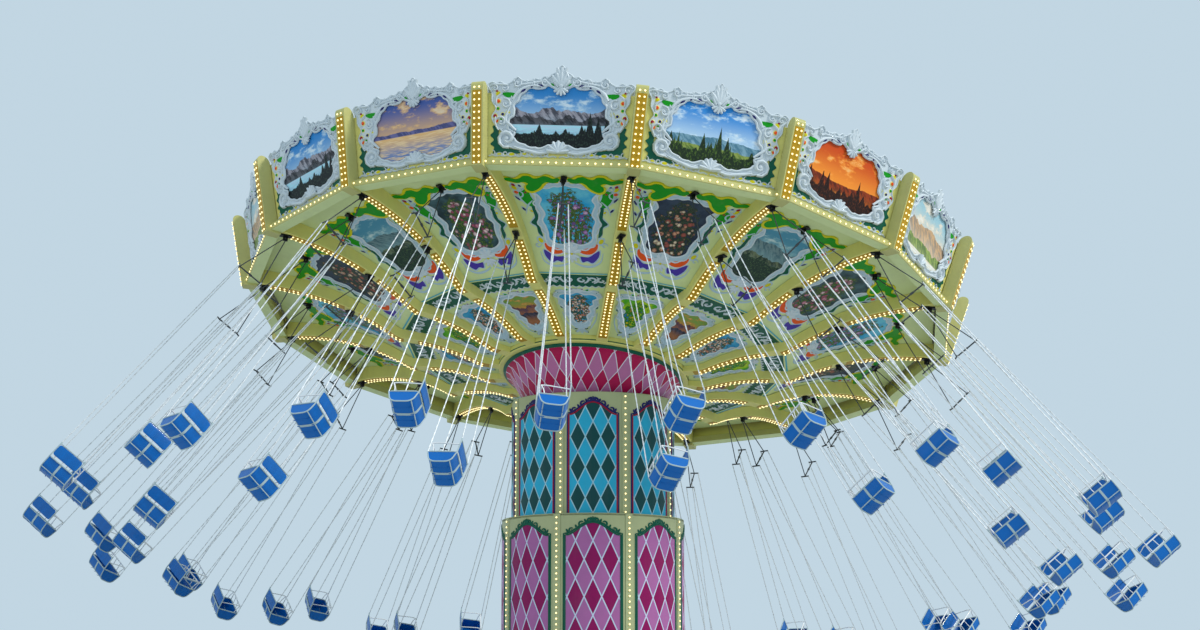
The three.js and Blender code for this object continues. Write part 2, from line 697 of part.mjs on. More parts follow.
const chairSolid = chair();
let chairNumber = 0;
for (const ring of [OUTER_RING, MIDDLE_RING, INNER_RING]) {
  for (const index of indices()) {
    chairNumber += 1;
    const seat = piece(`chair_${String(chairNumber).padStart(2, '0')}`, chairSolid, 'blue');
    seat.applyMatrix4(chairFrame(ring, index));
    ride.add(seat);
  }
}

ride.updateMatrixWorld(true);

export default ride;
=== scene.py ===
import json
import math

import bmesh
import bpy
import numpy as np
from mathutils import Matrix, Vector, geometry


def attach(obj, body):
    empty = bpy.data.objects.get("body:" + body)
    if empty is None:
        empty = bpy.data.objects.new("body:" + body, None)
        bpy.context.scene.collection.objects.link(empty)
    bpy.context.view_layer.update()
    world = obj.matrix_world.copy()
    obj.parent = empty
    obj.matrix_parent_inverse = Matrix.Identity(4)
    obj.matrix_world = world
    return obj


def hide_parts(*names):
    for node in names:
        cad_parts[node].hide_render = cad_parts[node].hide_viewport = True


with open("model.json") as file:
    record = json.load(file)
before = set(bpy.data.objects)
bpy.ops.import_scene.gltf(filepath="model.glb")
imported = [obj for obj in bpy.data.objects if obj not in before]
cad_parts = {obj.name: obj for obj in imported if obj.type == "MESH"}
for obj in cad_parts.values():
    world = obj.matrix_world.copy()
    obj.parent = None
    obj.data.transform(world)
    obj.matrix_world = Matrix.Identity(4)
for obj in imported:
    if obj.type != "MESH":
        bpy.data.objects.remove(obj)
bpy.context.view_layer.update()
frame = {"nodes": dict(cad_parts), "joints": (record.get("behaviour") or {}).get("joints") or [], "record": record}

# Motion, from the frame's joints
JOINTS = {joint["name"]: joint for joint in frame["joints"]}
PIVOT = Vector(JOINTS["tilt"]["pos_m"])
TILT_AXIS = Vector(JOINTS["tilt"]["axis"])
TILT = -math.radians(JOINTS["tilt"]["range_deg"][0])
CANOPY_UP = Vector(JOINTS["spin"]["axis"])
CANOPY = Matrix.Translation(PIVOT) @ Matrix.Rotation(TILT, 4, TILT_AXIS)
LEAD_SWING = -math.radians(JOINTS["swing_01"]["range_deg"][0])
SWING_RATIOS = {c["joint"]: c["ratio"] for c in frame["record"]["behaviour"]["couplings"]}
CHAIRS = 48

# Camera, as the photograph was taken
CAMERA_PLACE = (0.0, -41.82, 1.19)
CAMERA_RISE = 9.96
CAMERA_TURN = -0.17
LENS = 71.2
SENSOR = 36.0
FARTHEST = 500

# Canopy, in metres from the tilt pivot
SIDES = 16
SECTOR = 2 * math.pi / SIDES
HALF_SECTOR = SECTOR / 2
FIRST_RIB = math.radians(-85.5)
RIM_RISE = 1.07
RIB_WIDTH = 0.2
RIB_START = 6.4
CUSP = 3.5
CUSP_DROP = 0.75
ARCH_END = 2.0
ARCH_END_DROP = 1.05
RIB_END = 1.64
RIB_END_DROP = 1.065
RIB_TIP = 6.1
DEPTHS = ((RIB_START, 0.28), (CUSP, 0.17), (RIB_END, 0.1))
CEILING_OUT = 6.09
CEILING_IN = 1.726
CEILING_SHEET = 0.03
# Stretches of a rib with lamp strips, and with bulbs: outer and inner end
RIB_STRIPS = ((5.93, 4.53), (4.27, 3.42), (3.16, 1.86))
RIB_BULB_RUNS = ((5.88, 4.58), (4.22, 3.46), (3.11, 1.92))
HUB_RADIUS, HUB_RING_IN = 1.69, 1.59
HUB_BORE, HUB_TUBE, HUB_TOP = 0.38, 0.46, 1.93

# Rim
LEAN = 0.2774
RAIL_IN, RAIL_OUT = 6.12, 6.33
RAIL_LOW, RAIL_HIGH = -0.02, 0.1
BOARD_RADIUS = 6.17
BOARD_SHEET = 0.045
PILASTER_OUT = 6.4
PILASTER_HALF = 0.1
PILASTER_TOP = 1.27
PILASTER_FOOT = -0.06

# Column
PANELS = 8
LOWER_RADIUS, LOWER_LOW, LOWER_TOP = 1.6, 0.3, 4.85
UPPER_RADIUS, UPPER_LOW, UPPER_TOP = 1.436, 4.35, 6.95
STRIP_RISE = 0.015

# Capital: share up the cone, and the row of the diamonds there
DIAMOND_ROWS = ((0.0, 3.35), (0.09, 3.0), (0.37, 2.0), (0.64, 1.0), (1.0, 0.2))

# Chair, from its pivot: x across, y forward, z up the chains
SPREADER = -0.9
SPREADER_HALF = 0.236
CROSS_HALF = 0.085
CHAIR_HALF = 0.243
SEAT_FRONT, SEAT_BACK = 0.22, -0.22
SEAT_RIM, SEAT_BOTTOM = -5.54, -5.75
SEAT_TAPER = 0.06
BACK_TOP = -5.25
BACK_RAKE = 0.02
LINK_PITCH = 0.072
LINK_WIDE, LINK_THIN, LINK_LAP = 0.016, 0.01, 0.007

# Bulbs
BULB_RADIUS = 0.0165
RIB_BULB_PITCH = 0.083
ROW_HALF = 0.042
RAIL_BULB_PITCH = 0.124


# Shapes
class Shape:
    """Points, faces, finishes and painting places of one piece, before it becomes a mesh."""

    def __init__(self):
        self.points = []
        self.faces = []
        self.finishes = []
        self.places = []

    def add(self, points, faces, finish=0, places=None):
        """Adds points, and faces given by their numbers."""
        start = len(self.points)
        self.points.extend(tuple(point) for point in points)
        self.faces.extend(tuple(start + i for i in face) for face in faces)
        self.finishes.extend([finish] * len(faces))
        self.places.extend(places if places is not None else [(p[0], p[1]) for p in points])

    def grid(self, rows, finish=0, places=None, closed=False):
        """Joins rows of equally many points into a sheet; a closed one wraps each row round."""
        across = len(rows[0])
        points = [point for row in rows for point in row]
        flat = [place for row in places for place in row] if places else None
        faces = []
        for r in range(len(rows) - 1):
            for c in range(across if closed else across - 1):
                a, b = r * across + c, r * across + (c + 1) % across
                faces.append((a, b, b + across, a + across))
        self.add(points, faces, finish, flat)

    def caps(self, rows, finish=0):
        """Closes both ends of a sheet that wraps round."""
        corners = tuple(range(len(rows[0])))
        self.add(rows[0], [corners[::-1]], finish)
        self.add(rows[-1], [corners], finish)


def piece(name, shape, finishes, body, slot, matrix=None, baked=None, sharp=35):
    """Makes the mesh of a shape, with its faces as the shape gives them, and sets it on its body."""
    mesh = bpy.data.meshes.new(name)
    mesh.from_pydata(shape.points, [], shape.faces)
    layer = mesh.uv_layers.new(name="place")
    corners = np.empty(len(mesh.loops), np.int32)
    mesh.loops.foreach_get("vertex_index", corners)
    layer.data.foreach_set("uv", np.array(shape.places, np.float32)[corners].ravel())
    for finish in finishes:
        mesh.materials.append(finish)
    mesh.polygons.foreach_set("material_index", shape.finishes)
    mesh.shade_smooth()
    mesh.set_sharp_from_angle(angle=math.radians(sharp))
    if baked is not None:
        mesh.transform(baked)
    return placed(name, mesh, body, slot, matrix)


def linked(name, data):
    """A new object in the scene."""
    obj = bpy.data.objects.new(name, data)
    bpy.context.scene.collection.objects.link(obj)
    return obj


def placed(name, mesh, body, slot, matrix=None):
    """Puts a mesh, which other pieces may share, on its body."""
    obj = linked(name, mesh)
    if matrix is not None:
        obj.matrix_world = matrix
    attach(obj, body)
    return obj


def sharer(shape, finishes, slot, sharp=35):
    """A rule that makes pieces from a name, a body and a place; they share the mesh of the first."""
    made = []

    def make(name, body, matrix):
        if made:
            made.append(placed(name, made[0].data, body, slot, matrix))
        else:
            made.append(piece(name, shape, finishes, body, slot, matrix, sharp=sharp))
        return made[-1]

    return make


def angles(count, full=False):
    """Even angles round a circle, and where full is set also the whole turn."""
    return [2 * math.pi * k / count for k in range(count + 1 if full else count)]


def fan(count):
    """Triangles from the first point to a ring of the points after it."""
    return [(0, k + 1, (k + 1) % count + 1) for k in range(count)]


def around(radius, angle, height=0.0):
    """A place from its distance from Z, its direction and its height."""
    return Vector((radius * math.cos(angle), radius * math.sin(angle), height))


def lathe(shape, profile, sides, finish=0, start=0.0):
    """Turns a closed profile of (radius, height) round Z; places are shares of a turn and metres along."""
    rows, places = [], []
    length = 0.0
    turns = [start + a for a in angles(sides, True)]
    ring = profile + [profile[0]]
    for i, (radius, height) in enumerate(ring):
        if i:
            length += math.dist(ring[i - 1], ring[i])
        rows.append([around(radius, a, height) for a in turns])
        places.append([(a / (2 * math.pi), length) for a in turns])
    shape.grid(rows, finish, places)


def square_ring(shape, inner, outer, low, high, sides, finish=0):
    """A ring round Z with a square section."""
    lathe(shape, [(inner, low), (outer, low), (outer, high), (inner, high)], sides, finish)


def tube(shape, path, radius, sides=8, finish=0, closed=False):
    """A round bar along a path, with closed ends."""
    path = [Vector(p) for p in path]
    count = len(path)
    rows = []
    side = None
    for i, point in enumerate(path):
        if closed:
            ahead = (path[(i + 1) % count] - path[i - 1]).normalized()
        else:
            ahead = (path[min(i + 1, count - 1)] - path[max(i - 1, 0)]).normalized()
        if side is None:
            side = ahead.orthogonal().normalized()
        side = (side - ahead * side.dot(ahead)).normalized()
        other = ahead.cross(side)
        rows.append([point + (side * math.cos(t) + other * math.sin(t)) * radius for t in angles(sides)])
    if closed:
        rows.append(rows[0])
    shape.grid(rows, finish, closed=True)
    if not closed:
        shape.add([path[-1], *rows[-1]], fan(sides), finish)
        shape.add([path[0], *rows[0]], [face[::-1] for face in fan(sides)], finish)


EASE_SHARE = 0.12


def block(shape, centre, size, finish=0, turn=None):
    """A box of the given size with slightly eased edges."""
    turn = turn or Matrix.Identity(3)
    ease = EASE_SHARE * min(size)
    x, y, z = (s / 2 for s in size)
    outline = [(x - ease, -y), (x, -y + ease), (x, y - ease), (x - ease, y),
               (-x + ease, y), (-x, y - ease), (-x, -y + ease), (-x + ease, -y)]
    rows = []
    for inset, height in ((ease, -z), (0, -z + ease), (0, z - ease), (ease, z)):
        rows.append([turn @ Vector((px * (1 - inset / x), py * (1 - inset / y), height)) + Vector(centre)
                     for px, py in outline])
    shape.grid(rows, finish, closed=True)
    shape.caps(rows, finish)


# Sections of a raised stroke: share of the half width, and share of the height
FULL_SECTION = ((-1.0, 0.0), (-0.72, 0.72), (0.0, 1.0), (0.72, 0.72), (1.0, 0.0))
LOW_SECTION = ((-1.0, 0.0), (-0.6, 0.9), (0.6, 0.9), (1.0, 0.0))
LOW_STROKE = 0.013
STEEPEST_STROKE = 2.2


def stroke(shape, path, width, height, onto, finish=0, base=0.0):
    """A raised stroke along a flat path, lower where it is narrow; width may be a rule of the way along."""
    count = len(path)
    section = LOW_SECTION if height < LOW_STROKE else FULL_SECTION
    rows = []
    for i, (x, y) in enumerate(path):
        (ax, ay), (bx, by) = path[max(i - 1, 0)], path[min(i + 1, count - 1)]
        dx, dy = bx - ax, by - ay
        length = math.hypot(dx, dy) or 1.0
        half = (width(i / (count - 1)) if callable(width) else width) / 2
        rise = height * min(1.0, STEEPEST_STROKE * half / height)
        rows.append([onto(x + dy / length * across * half, y - dx / length * across * half, base + up * rise)
                     for across, up in section])
    shape.grid(rows, finish)


SAME_PLACE = 1e-4


def cut_at_bands(loop, bands):
    """The loop with a point added wherever it crosses a multiple of the band width."""
    out = []
    for i, (x, y) in enumerate(loop):
        out.append((x, y))
        nx, ny = loop[(i + 1) % len(loop)]
        low, high = sorted((y, ny))
        lines = [k * bands for k in range(math.ceil(low / bands), math.floor(high / bands) + 1)]
        lines = [line for line in lines if low + SAME_PLACE < line < high - SAME_PLACE]
        for line in lines if ny > y else reversed(lines):
            out.append((x + (nx - x) * (line - y) / (ny - y), line))
    return out


NO_AREA = 1e-9
CUT_REACH = 1e-5


def patch(shape, outline, height, onto, finish=0, hole=None, base=0.0, bands=0.0, back=False):
    """A raised shape with side walls, from its outline; bands let it follow a curved surface."""
    loops = [outline] if hole is None else [outline, hole]
    if bands:
        loops = [cut_at_bands(loop, bands) for loop in loops]
    flat = bmesh.new()
    points = [flat.verts.new((x, y, 0)) for loop in loops for x, y in loop]
    for corners in geometry.tessellate_polygon([[Vector((x, y, 0)) for x, y in loop] for loop in loops]):
        a, b, c = (points[i] for i in corners)
        turn = (b.co - a.co).cross(c.co - a.co).z
        if abs(turn) > NO_AREA:
            flat.faces.new((a, b, c) if turn > 0 else (a, c, b))
    if bands:
        heights = [y for loop in loops for _, y in loop]
        for k in range(math.ceil(min(heights) / bands), math.floor(max(heights) / bands) + 1):
            bmesh.ops.bisect_plane(flat, geom=[*flat.verts, *flat.edges, *flat.faces], dist=CUT_REACH,
                                   plane_co=(0, k * bands, 0), plane_no=(0, 1, 0))
    flat.verts.index_update()
    spots = [(v.co.x, v.co.y) for v in flat.verts]
    faces = [[v.index for v in face.verts] for face in flat.faces]
    flat.free()
    shape.add([onto(x, y, base + height) for x, y in spots], faces, finish, spots)
    if back:
        shape.add([onto(x, y, base) for x, y in spots], [face[::-1] for face in faces], finish, spots)
    for loop in loops:
        area = sum(p[0] * q[1] - q[0] * p[1] for p, q in zip(loop, [*loop[1:], loop[0]]))
        outer = (area > 0) == (loop is loops[0])
        closed = [*loop, loop[0]] if outer else [loop[0], *loop[::-1]]
        shape.grid([[onto(x, y, level) for x, y in closed] for level in (base, base + height)],
                   finish, [closed, closed])


DOME_SIDES = 8
DOME_RINGS = (1.0, 0.66)


def dome(shape, x, y, radius, height, onto, finish=0, base=0.0, long=1.0, turn=0.0):
    """A low round or oval button."""
    cosine, sine = math.cos(turn), math.sin(turn)
    rows = []
    for share in DOME_RINGS:
        lift = base + height * math.sqrt(max(0.0, 1 - share * share))
        ring = []
        for angle in angles(DOME_SIDES):
            u, v = radius * long * share * math.cos(angle), radius * share * math.sin(angle)
            ring.append(onto(x + u * cosine - v * sine, y + u * sine + v * cosine, lift))
        rows.append(ring)
    shape.grid(rows, finish, closed=True)
    shape.add([onto(x, y, base + height), *rows[-1]], fan(DOME_SIDES), finish)


def between(a, b, c, d, t):
    """The value at share t of the way from b to c, on a smooth curve that heeds a and d too."""
    square, cube = 2 * a - 5 * b + 4 * c - d, 3 * b - a - 3 * c + d
    return 0.5 * (2 * b + (c - a) * t + square * t * t + cube * t ** 3)


def smoothed(points, steps=6, closed=True):
    """A smooth curve through all the points."""
    count = len(points)
    out = []
    for i in range(count if closed else count - 1):
        if closed:
            near = [points[(i + k) % count] for k in (-1, 0, 1, 2)]
        else:
            near = [points[min(max(i + k, 0), count - 1)] for k in (-1, 0, 1, 2)]
        for s in range(steps):
            out.append(tuple(between(*(p[axis] for p in near), s / steps) for axis in (0, 1)))
    if not closed:
        out.append(points[-1])
    return out


def ring_stroke(shape, loop, width, height, onto, finish, base):
    """A raised stroke along a closed outline."""
    stroke(shape, [*loop, loop[0]], width, height, onto, finish, base)


def mirrored(half):
    """A closed outline from its right half, which runs from the bottom middle to the top middle."""
    return [*half, *[(-x, y) for x, y in reversed(half) if x > 0]]


def spiral(x, y, start_radius, end_radius, start, turns, steps=13):
    """A scroll: points that wind from the start radius to the end radius."""
    points = []
    for i in range(steps + 1):
        share = i / steps
        radius = start_radius + (end_radius - start_radius) * share
        angle = start + 2 * math.pi * turns * share
        points.append((x + radius * math.cos(angle), y + radius * math.sin(angle)))
    return points


def taper(full, tip=0.25, start=0.12):
    """A rule for a stroke's width: full before the middle, and narrow at both ends."""
    return lambda share: full * (tip + (1 - tip) * math.sin(math.pi * min(1.0, start + (1 - start) * share)))


CORNER_SHARE = 2.2


def rounded(points, radius, steps=4, closed=False):
    """A path of straight runs with round corners."""
    points = [Vector(p) for p in points]
    count = len(points)
    out = []
    for i, point in enumerate(points):
        if not closed and i in (0, count - 1):
            out.append(point)
            continue
        before, after = points[i - 1], points[(i + 1) % count]
        reach = min(radius, (before - point).length / CORNER_SHARE, (after - point).length / CORNER_SHARE)
        start = point + (before - point).normalized() * reach
        end = point + (after - point).normalized() * reach
        for s in range(steps + 1):
            t = s / steps
            out.append(start * (1 - t) ** 2 + point * 2 * t * (1 - t) + end * t * t)
    return out


# Node helpers
SPECULAR = 0.2
RELIEF_STRENGTH = 0.35


class Nodes:
    """Short names for the node kinds that the finishes use."""

    def __init__(self, name):
        self.material = bpy.data.materials.new(name)
        self.material.use_nodes = True
        self.tree = self.material.node_tree
        self.shader = self.tree.nodes["Principled BSDF"]

    def node(self, kind, **settings):
        made = self.tree.nodes.new(kind)
        for key, value in settings.items():
            setattr(made, key, value)
        return made

    def feed(self, socket, value):
        """Links a socket to another, or sets its value."""
        if hasattr(value, "is_output"):
            self.tree.links.new(value, socket)
        else:
            socket.default_value = value

    def filled(self, kind, values, **settings):
        """The result of a node whose first sockets take these values."""
        made = self.node(kind, **settings)
        for socket, value in zip(made.inputs, values):
            self.feed(socket, value)
        return made.outputs[0]

    def math(self, operation, a, b=0.0):
        return self.filled("ShaderNodeMath", (a, b), operation=operation)

    def times(self, a, b):
        return self.math("MULTIPLY", a, b)

    def plus(self, a, b):
        return self.math("ADD", a, b)

    def minus(self, a, b):
        return self.math("SUBTRACT", a, b)

    def mix(self, share, a, b):
        """Two colours mixed; the node's sockets 6 and 7 take colours."""
        made = self.node("ShaderNodeMix", data_type="RGBA")
        self.feed(made.inputs[0], share)
        self.feed(made.inputs[6], colour(a))
        self.feed(made.inputs[7], colour(b))
        return made.outputs[2]

    def place(self):
        """The painting place, as two numbers."""
        source = self.node("ShaderNodeUVMap", uv_map="place")
        parts = self.node("ShaderNodeSeparateXYZ")
        self.tree.links.new(source.outputs[0], parts.inputs[0])
        return parts.outputs[0], parts.outputs[1]

    def vector(self, x, y, z=0.0):
        return self.filled("ShaderNodeCombineXYZ", (x, y, z))

    def solid_place(self):
        """The place in the piece's own metres."""
        return self.node("ShaderNodeTexCoord").outputs["Object"]

    def noise(self, vector, scale, detail=3.0, rough=0.55):
        made = self.node("ShaderNodeTexNoise")
        self.tree.links.new(vector, made.inputs["Vector"])
        made.inputs["Scale"].default_value = scale
        made.inputs["Detail"].default_value = detail
        made.inputs["Roughness"].default_value = rough
        return made.outputs["Fac"]

    def cells(self, vector, scale):
        """The distance to the nearest of many scattered points, and that point's own colour."""
        made = self.node("ShaderNodeTexVoronoi")
        self.tree.links.new(vector, made.inputs["Vector"])
        made.inputs["Scale"].default_value = scale
        return made.outputs["Distance"], made.outputs["Color"]

    def step(self, value, low, high):
        """A soft step from 0 at low to 1 at high."""
        values = (value, low, high, 0.0, 1.0)
        return self.filled("ShaderNodeMapRange", values, interpolation_type="SMOOTHSTEP")

    def finish(self, base, roughness, bump=None, distance=0.001, metallic=0.0, coat=0.0):
        """Sets the base colour, the gloss and the relief."""
        self.feed(self.shader.inputs["Base Color"], base)
        self.feed(self.shader.inputs["Roughness"], roughness)
        self.shader.inputs["Metallic"].default_value = metallic
        self.shader.inputs["Specular IOR Level"].default_value = SPECULAR
        self.shader.inputs["Coat Weight"].default_value = coat
        if bump is not None:
            relief = self.node("ShaderNodeBump")
            relief.inputs["Strength"].default_value = RELIEF_STRENGTH
            relief.inputs["Distance"].default_value = distance
            self.tree.links.new(bump, relief.inputs["Height"])
            self.tree.links.new(relief.outputs[0], self.shader.inputs["Normal"])
        return self.material


def colour(value):
    """A hex colour as linear light, or a socket as it is."""
    if hasattr(value, "is_output"):
        return value
    parts = [int(value[i:i + 2], 16) / 255 for i in (1, 3, 5)]
    return (*[p / 12.92 if p <= 0.04045 else ((p + 0.055) / 1.055) ** 2.4 for p in parts], 1.0)


def weathered(n, base, dust="#8A846F", amount=0.18):
    """Adds broad patches, downward streaks and fine speckle to a painted colour."""
    where = n.solid_place()
    broad = n.noise(where, 1.3, 4.0)
    stretch = n.node("ShaderNodeMapping")
    stretch.inputs["Scale"].default_value = (9.0, 9.0, 0.8)
    n.tree.links.new(where, stretch.inputs["Vector"])
    streaks = n.noise(stretch.outputs[0], 1.0, 5.0)
    return n.mix(n.times(n.step(n.plus(broad, streaks), 0.95, 1.35), amount), base, dust)


def enamel(name, base, roughness=0.42, dust="#8A846F", amount=0.1, coat=0.04):
    """Brushed paint, a little uneven in shade and gloss."""
    n = Nodes(name)
    where = n.solid_place()
    shade = n.noise(where, 3.0, 4.0)
    painted = n.mix(n.times(shade, 0.12), base, "#20242A")
    fine = n.noise(where, 160.0, 2.0)
    rough = n.plus(n.times(n.noise(where, 11.0), 0.2), roughness - 0.1)
    return n.finish(weathered(n, painted, dust, amount), rough, fine, 0.0006, coat=coat)


LINE_SOFTNESS = 0.012


def harlequin(name, ground, diamond, lattice, width, height, shift=(0.0, 0.0), line=0.045):
    """Rows of long diamonds in two colours with pale lines between, painted in the piece's own places."""
    n = Nodes(name)
    x, y = n.place()
    u = n.math("DIVIDE", n.plus(x, shift[0]), width)
    v = n.math("DIVIDE", n.plus(y, shift[1]), height)
    a, b = n.plus(u, v), n.minus(u, v)
    rows = n.minus(n.math("FLOOR", a), n.math("FLOOR", b))
    odd = n.math("ABSOLUTE", n.math("MODULO", rows, 2.0))
    near = [n.math("ABSOLUTE", n.minus(n.math("FRACT", value), 0.5)) for value in (a, b)]
    edge = n.step(n.math("MAXIMUM", *near), 0.5 - line, 0.5 - line + LINE_SOFTNESS)
    where = n.solid_place()
    brush = n.noise(where, 7.0, 5.0)
    deep = n.mix(n.times(brush, 0.2), diamond, "#101014")
    light = n.mix(n.times(brush, 0.14), ground, "#1A1A24")
    painted = n.mix(edge, n.mix(odd, light, deep), lattice)
    rough = n.plus(n.times(n.noise(where, 14.0), 0.2), 0.32)
    return n.finish(weathered(n, painted, "#77706A", 0.07), rough, n.noise(where, 120.0), 0.0006, coat=0.05)


def firs(n, x, level, height, count, seed):
    """The height of a row of firs over each place across, in random sizes and with gaps."""
    spread = n.plus(n.times(x, count), seed)
    chance = n.node("ShaderNodeTexWhiteNoise", noise_dimensions="1D")
    n.feed(chance.inputs["W"], n.math("FLOOR", spread))
    tips = n.math("ABSOLUTE", n.minus(n.math("FRACT", spread), 0.5))
    stand = n.step(n.noise(n.vector(n.times(x, 1.3), seed + 9.0), 1.0, 2.0), 0.42, 0.58)
    tall = n.times(n.times(stand, height), n.plus(n.times(chance.outputs[0], 0.8), 0.2))
    return n.plus(n.times(n.minus(1.0, n.times(tips, 2.1)), tall), level)


def ridge(n, x, y, picture, seed, haze, form):
    """Adds one ridge with lit and shaded faces, paler towards its foot."""
    level, rise, waves, tone, shade = form
    line = n.noise(n.vector(n.times(x, waves), seed + level * 3.1), 1.0, 8.0, 0.55)
    crest = n.plus(n.times(n.minus(line, 0.5), rise * 3.2), level)
    below = n.minus(crest, y)
    slant = n.vector(n.plus(n.times(x, 5.0), n.times(y, 4.0)), n.times(y, 2.2), seed + level)
    faces = n.step(n.noise(slant, 1.9, 8.0, 0.7), 0.42, 0.58)
    veil = n.times(n.step(below, 0.05, 0.5), 0.45)
    rock = n.mix(veil, n.mix(faces, tone, shade), haze)
    return n.mix(n.step(below, -0.003, 0.009), picture, rock)


def lake(n, x, y, picture, seed, haze, form):
    """Adds rippled water below a level."""
    level, tone, glint = form
    ripple = n.noise(n.vector(n.times(x, 2.2), n.times(y, 26.0), seed), 2.0, 5.0)
    water = n.mix(n.step(ripple, 0.42, 0.66), n.mix(n.step(y, level - 0.4, level), tone, haze), glint)
    return n.mix(n.step(n.minus(level, y), -0.006, 0.01), picture, water)


def forest(n, x, y, picture, seed, form):
    """Adds a far and a near row of firs."""
    level, height, dark, light = form
    ragged = n.noise(n.vector(n.times(x, 60.0), n.times(y, 46.0), seed), 1.0, 3.0)
    shore = n.noise(n.vector(n.times(x, 2.4), seed), 1.0, 3.0)
    for count, share, tone in ((13.0, 0.55, 0.4), (6.0, 1.0, 0.0)):
        top = n.plus(firs(n, x, level, height * share, count, seed),
                     n.plus(n.times(ragged, 0.09), n.times(shore, 0.16)))
        needles = n.noise(n.vector(n.times(x, 18.0), n.times(y, 10.0), seed), 2.0, 5.0)
        leaf = n.mix(n.step(needles, 0.5, 0.68), n.mix(tone, dark, light), light)
        picture = n.mix(n.step(n.minus(n.minus(top, 0.12), y), 0.0, 0.02), picture, leaf)
    return picture


def scenery(name, seed, sky_low, sky_high, cloud, ridges, water=None, trees=None):
    """A plain painted view: sky, clouds, ridges, water and rows of firs."""
    n = Nodes(name)
    x, y = n.place()
    sky = n.mix(n.step(y, -0.3, 0.55), sky_low, sky_high)
    drift = n.noise(n.vector(n.times(x, 1.5), n.times(y, 3.0), seed), 1.6, 8.0, 0.62)
    billow = n.mix(n.step(drift, 0.56, 0.72), sky_low, cloud)
    picture = n.mix(n.times(n.step(drift, 0.5, 0.62), 0.9), sky, billow)
    for form in ridges:
        picture = ridge(n, x, y, picture, seed, sky_low, form)
    if water is not None:
        picture = lake(n, x, y, picture, seed, sky_low, water)
    if trees is not None:
        picture = forest(n, x, y, picture, seed, trees)
    brush = n.noise(n.vector(n.times(x, 3.0), y, seed), 38.0, 4.0)
    return n.finish(picture, 0.45, brush, 0.001, coat=0.05)


def bouquet(name, seed, ground, glow, petals, leaf, spread=0.5):
    """A plain painted bunch of layered flowers and leaves on a soft ground."""
    n = Nodes(name)
    x, y = n.place()
    here = n.vector(x, y, seed)
    picture = n.mix(n.step(n.noise(here, 1.9, 5.0), 0.36, 0.64), ground, glow)
    wobble = n.times(n.minus(n.noise(here, 3.2, 6.0, 0.65), 0.5), 0.75)
    far = n.math("SQRT", n.plus(n.math("POWER", n.times(x, 1.15), 2.0),
                                n.math("POWER", n.plus(n.times(y, 0.62), 0.16), 2.0)))
    reach = n.plus(far, wobble)
    for layer, size, edge in ((0.0, 15.0, 0.1), (1.7, 10.0, 0.05)):
        blades, _ = n.cells(n.vector(n.times(x, 1.0 + layer), y, seed + layer), size)
        green = n.mix(n.step(blades, 0.15, 0.6), leaf[0], leaf[1])
        clump = n.step(reach, spread + edge, spread + edge - 0.06)
        picture = n.mix(n.times(clump, n.step(blades, 0.62, 0.5)), picture, green)
    for layer, size in ((2.0, 6.5), (5.3, 9.5)):
        heads, tints = n.cells(n.vector(x, y, seed + layer), size)
        pick = n.node("ShaderNodeSeparateXYZ")
        n.tree.links.new(tints, pick.inputs[0])
        tone = n.mix(n.step(pick.outputs[0], 0.45, 0.55), petals[0], petals[1])
        tone = n.mix(n.step(pick.outputs[1], 0.66, 0.72), tone, petals[2])
        folds = n.plus(n.times(heads, 0.7), n.times(n.noise(here, 40.0, 4.0), 0.5))
        tone = n.mix(n.step(folds, 0.3, 0.6), tone, petals[3])
        bloom = n.times(n.step(heads, 0.46, 0.38), n.step(reach, spread + 0.03, spread - 0.04))
        picture = n.mix(n.times(bloom, n.step(pick.outputs[2], 0.3, 0.36)), picture, tone)
    return n.finish(picture, 0.45, n.noise(here, 60.0), 0.001, coat=0.05)


def metal(name, base, roughness=0.35, metallic=0.85):
    """Bare metal with duller spots."""
    n = Nodes(name)
    where = n.solid_place()
    spots = n.noise(where, 35.0, 5.0)
    tone = n.mix(n.times(n.step(spots, 0.5, 0.75), 0.5), base, "#6E6A66")
    rough = n.plus(n.times(spots, 0.3), roughness - 0.1)
    return n.finish(tone, rough, n.noise(where, 220.0), 0.0004, metallic=metallic)


def lamp(name):
    """Small glowing bulbs of warm white glass."""
    n = Nodes(name)
    frost = n.noise(n.solid_place(), 90.0, 2.0)
    n.feed(n.shader.inputs["Base Color"], n.mix(frost, "#FFF0C0", "#FFE49A"))
    n.shader.inputs["Roughness"].default_value = 0.25
    n.shader.inputs["Emission Color"].default_value = colour("#FFEEAE")
    n.shader.inputs["Emission Strength"].default_value = 1.5
    n.material.cycles.emission_sampling = "NONE"
    return n.material


CREAM = enamel("cream_enamel", "#EAE284")
PALE_CREAM = enamel("pale_cream_enamel", "#DCE8A6", amount=0.08)
# Cream paint of the column, strips and plinth, made darker than the rib cream as painted shade, for the shade
# under the canopy
COLUMN_CREAM_SHADED = enamel("column_cream_shaded_enamel", "#B6BC8E", amount=0.12)
YELLOW = enamel("gold_enamel", "#BE9416", 0.4)
# Yellow paint of the rail and pilasters, made darker as painted shade, for the shade that the rim stands in
RIM_YELLOW_SHADED = enamel("rim_yellow_shaded_enamel", "#C6C27A", 0.4)
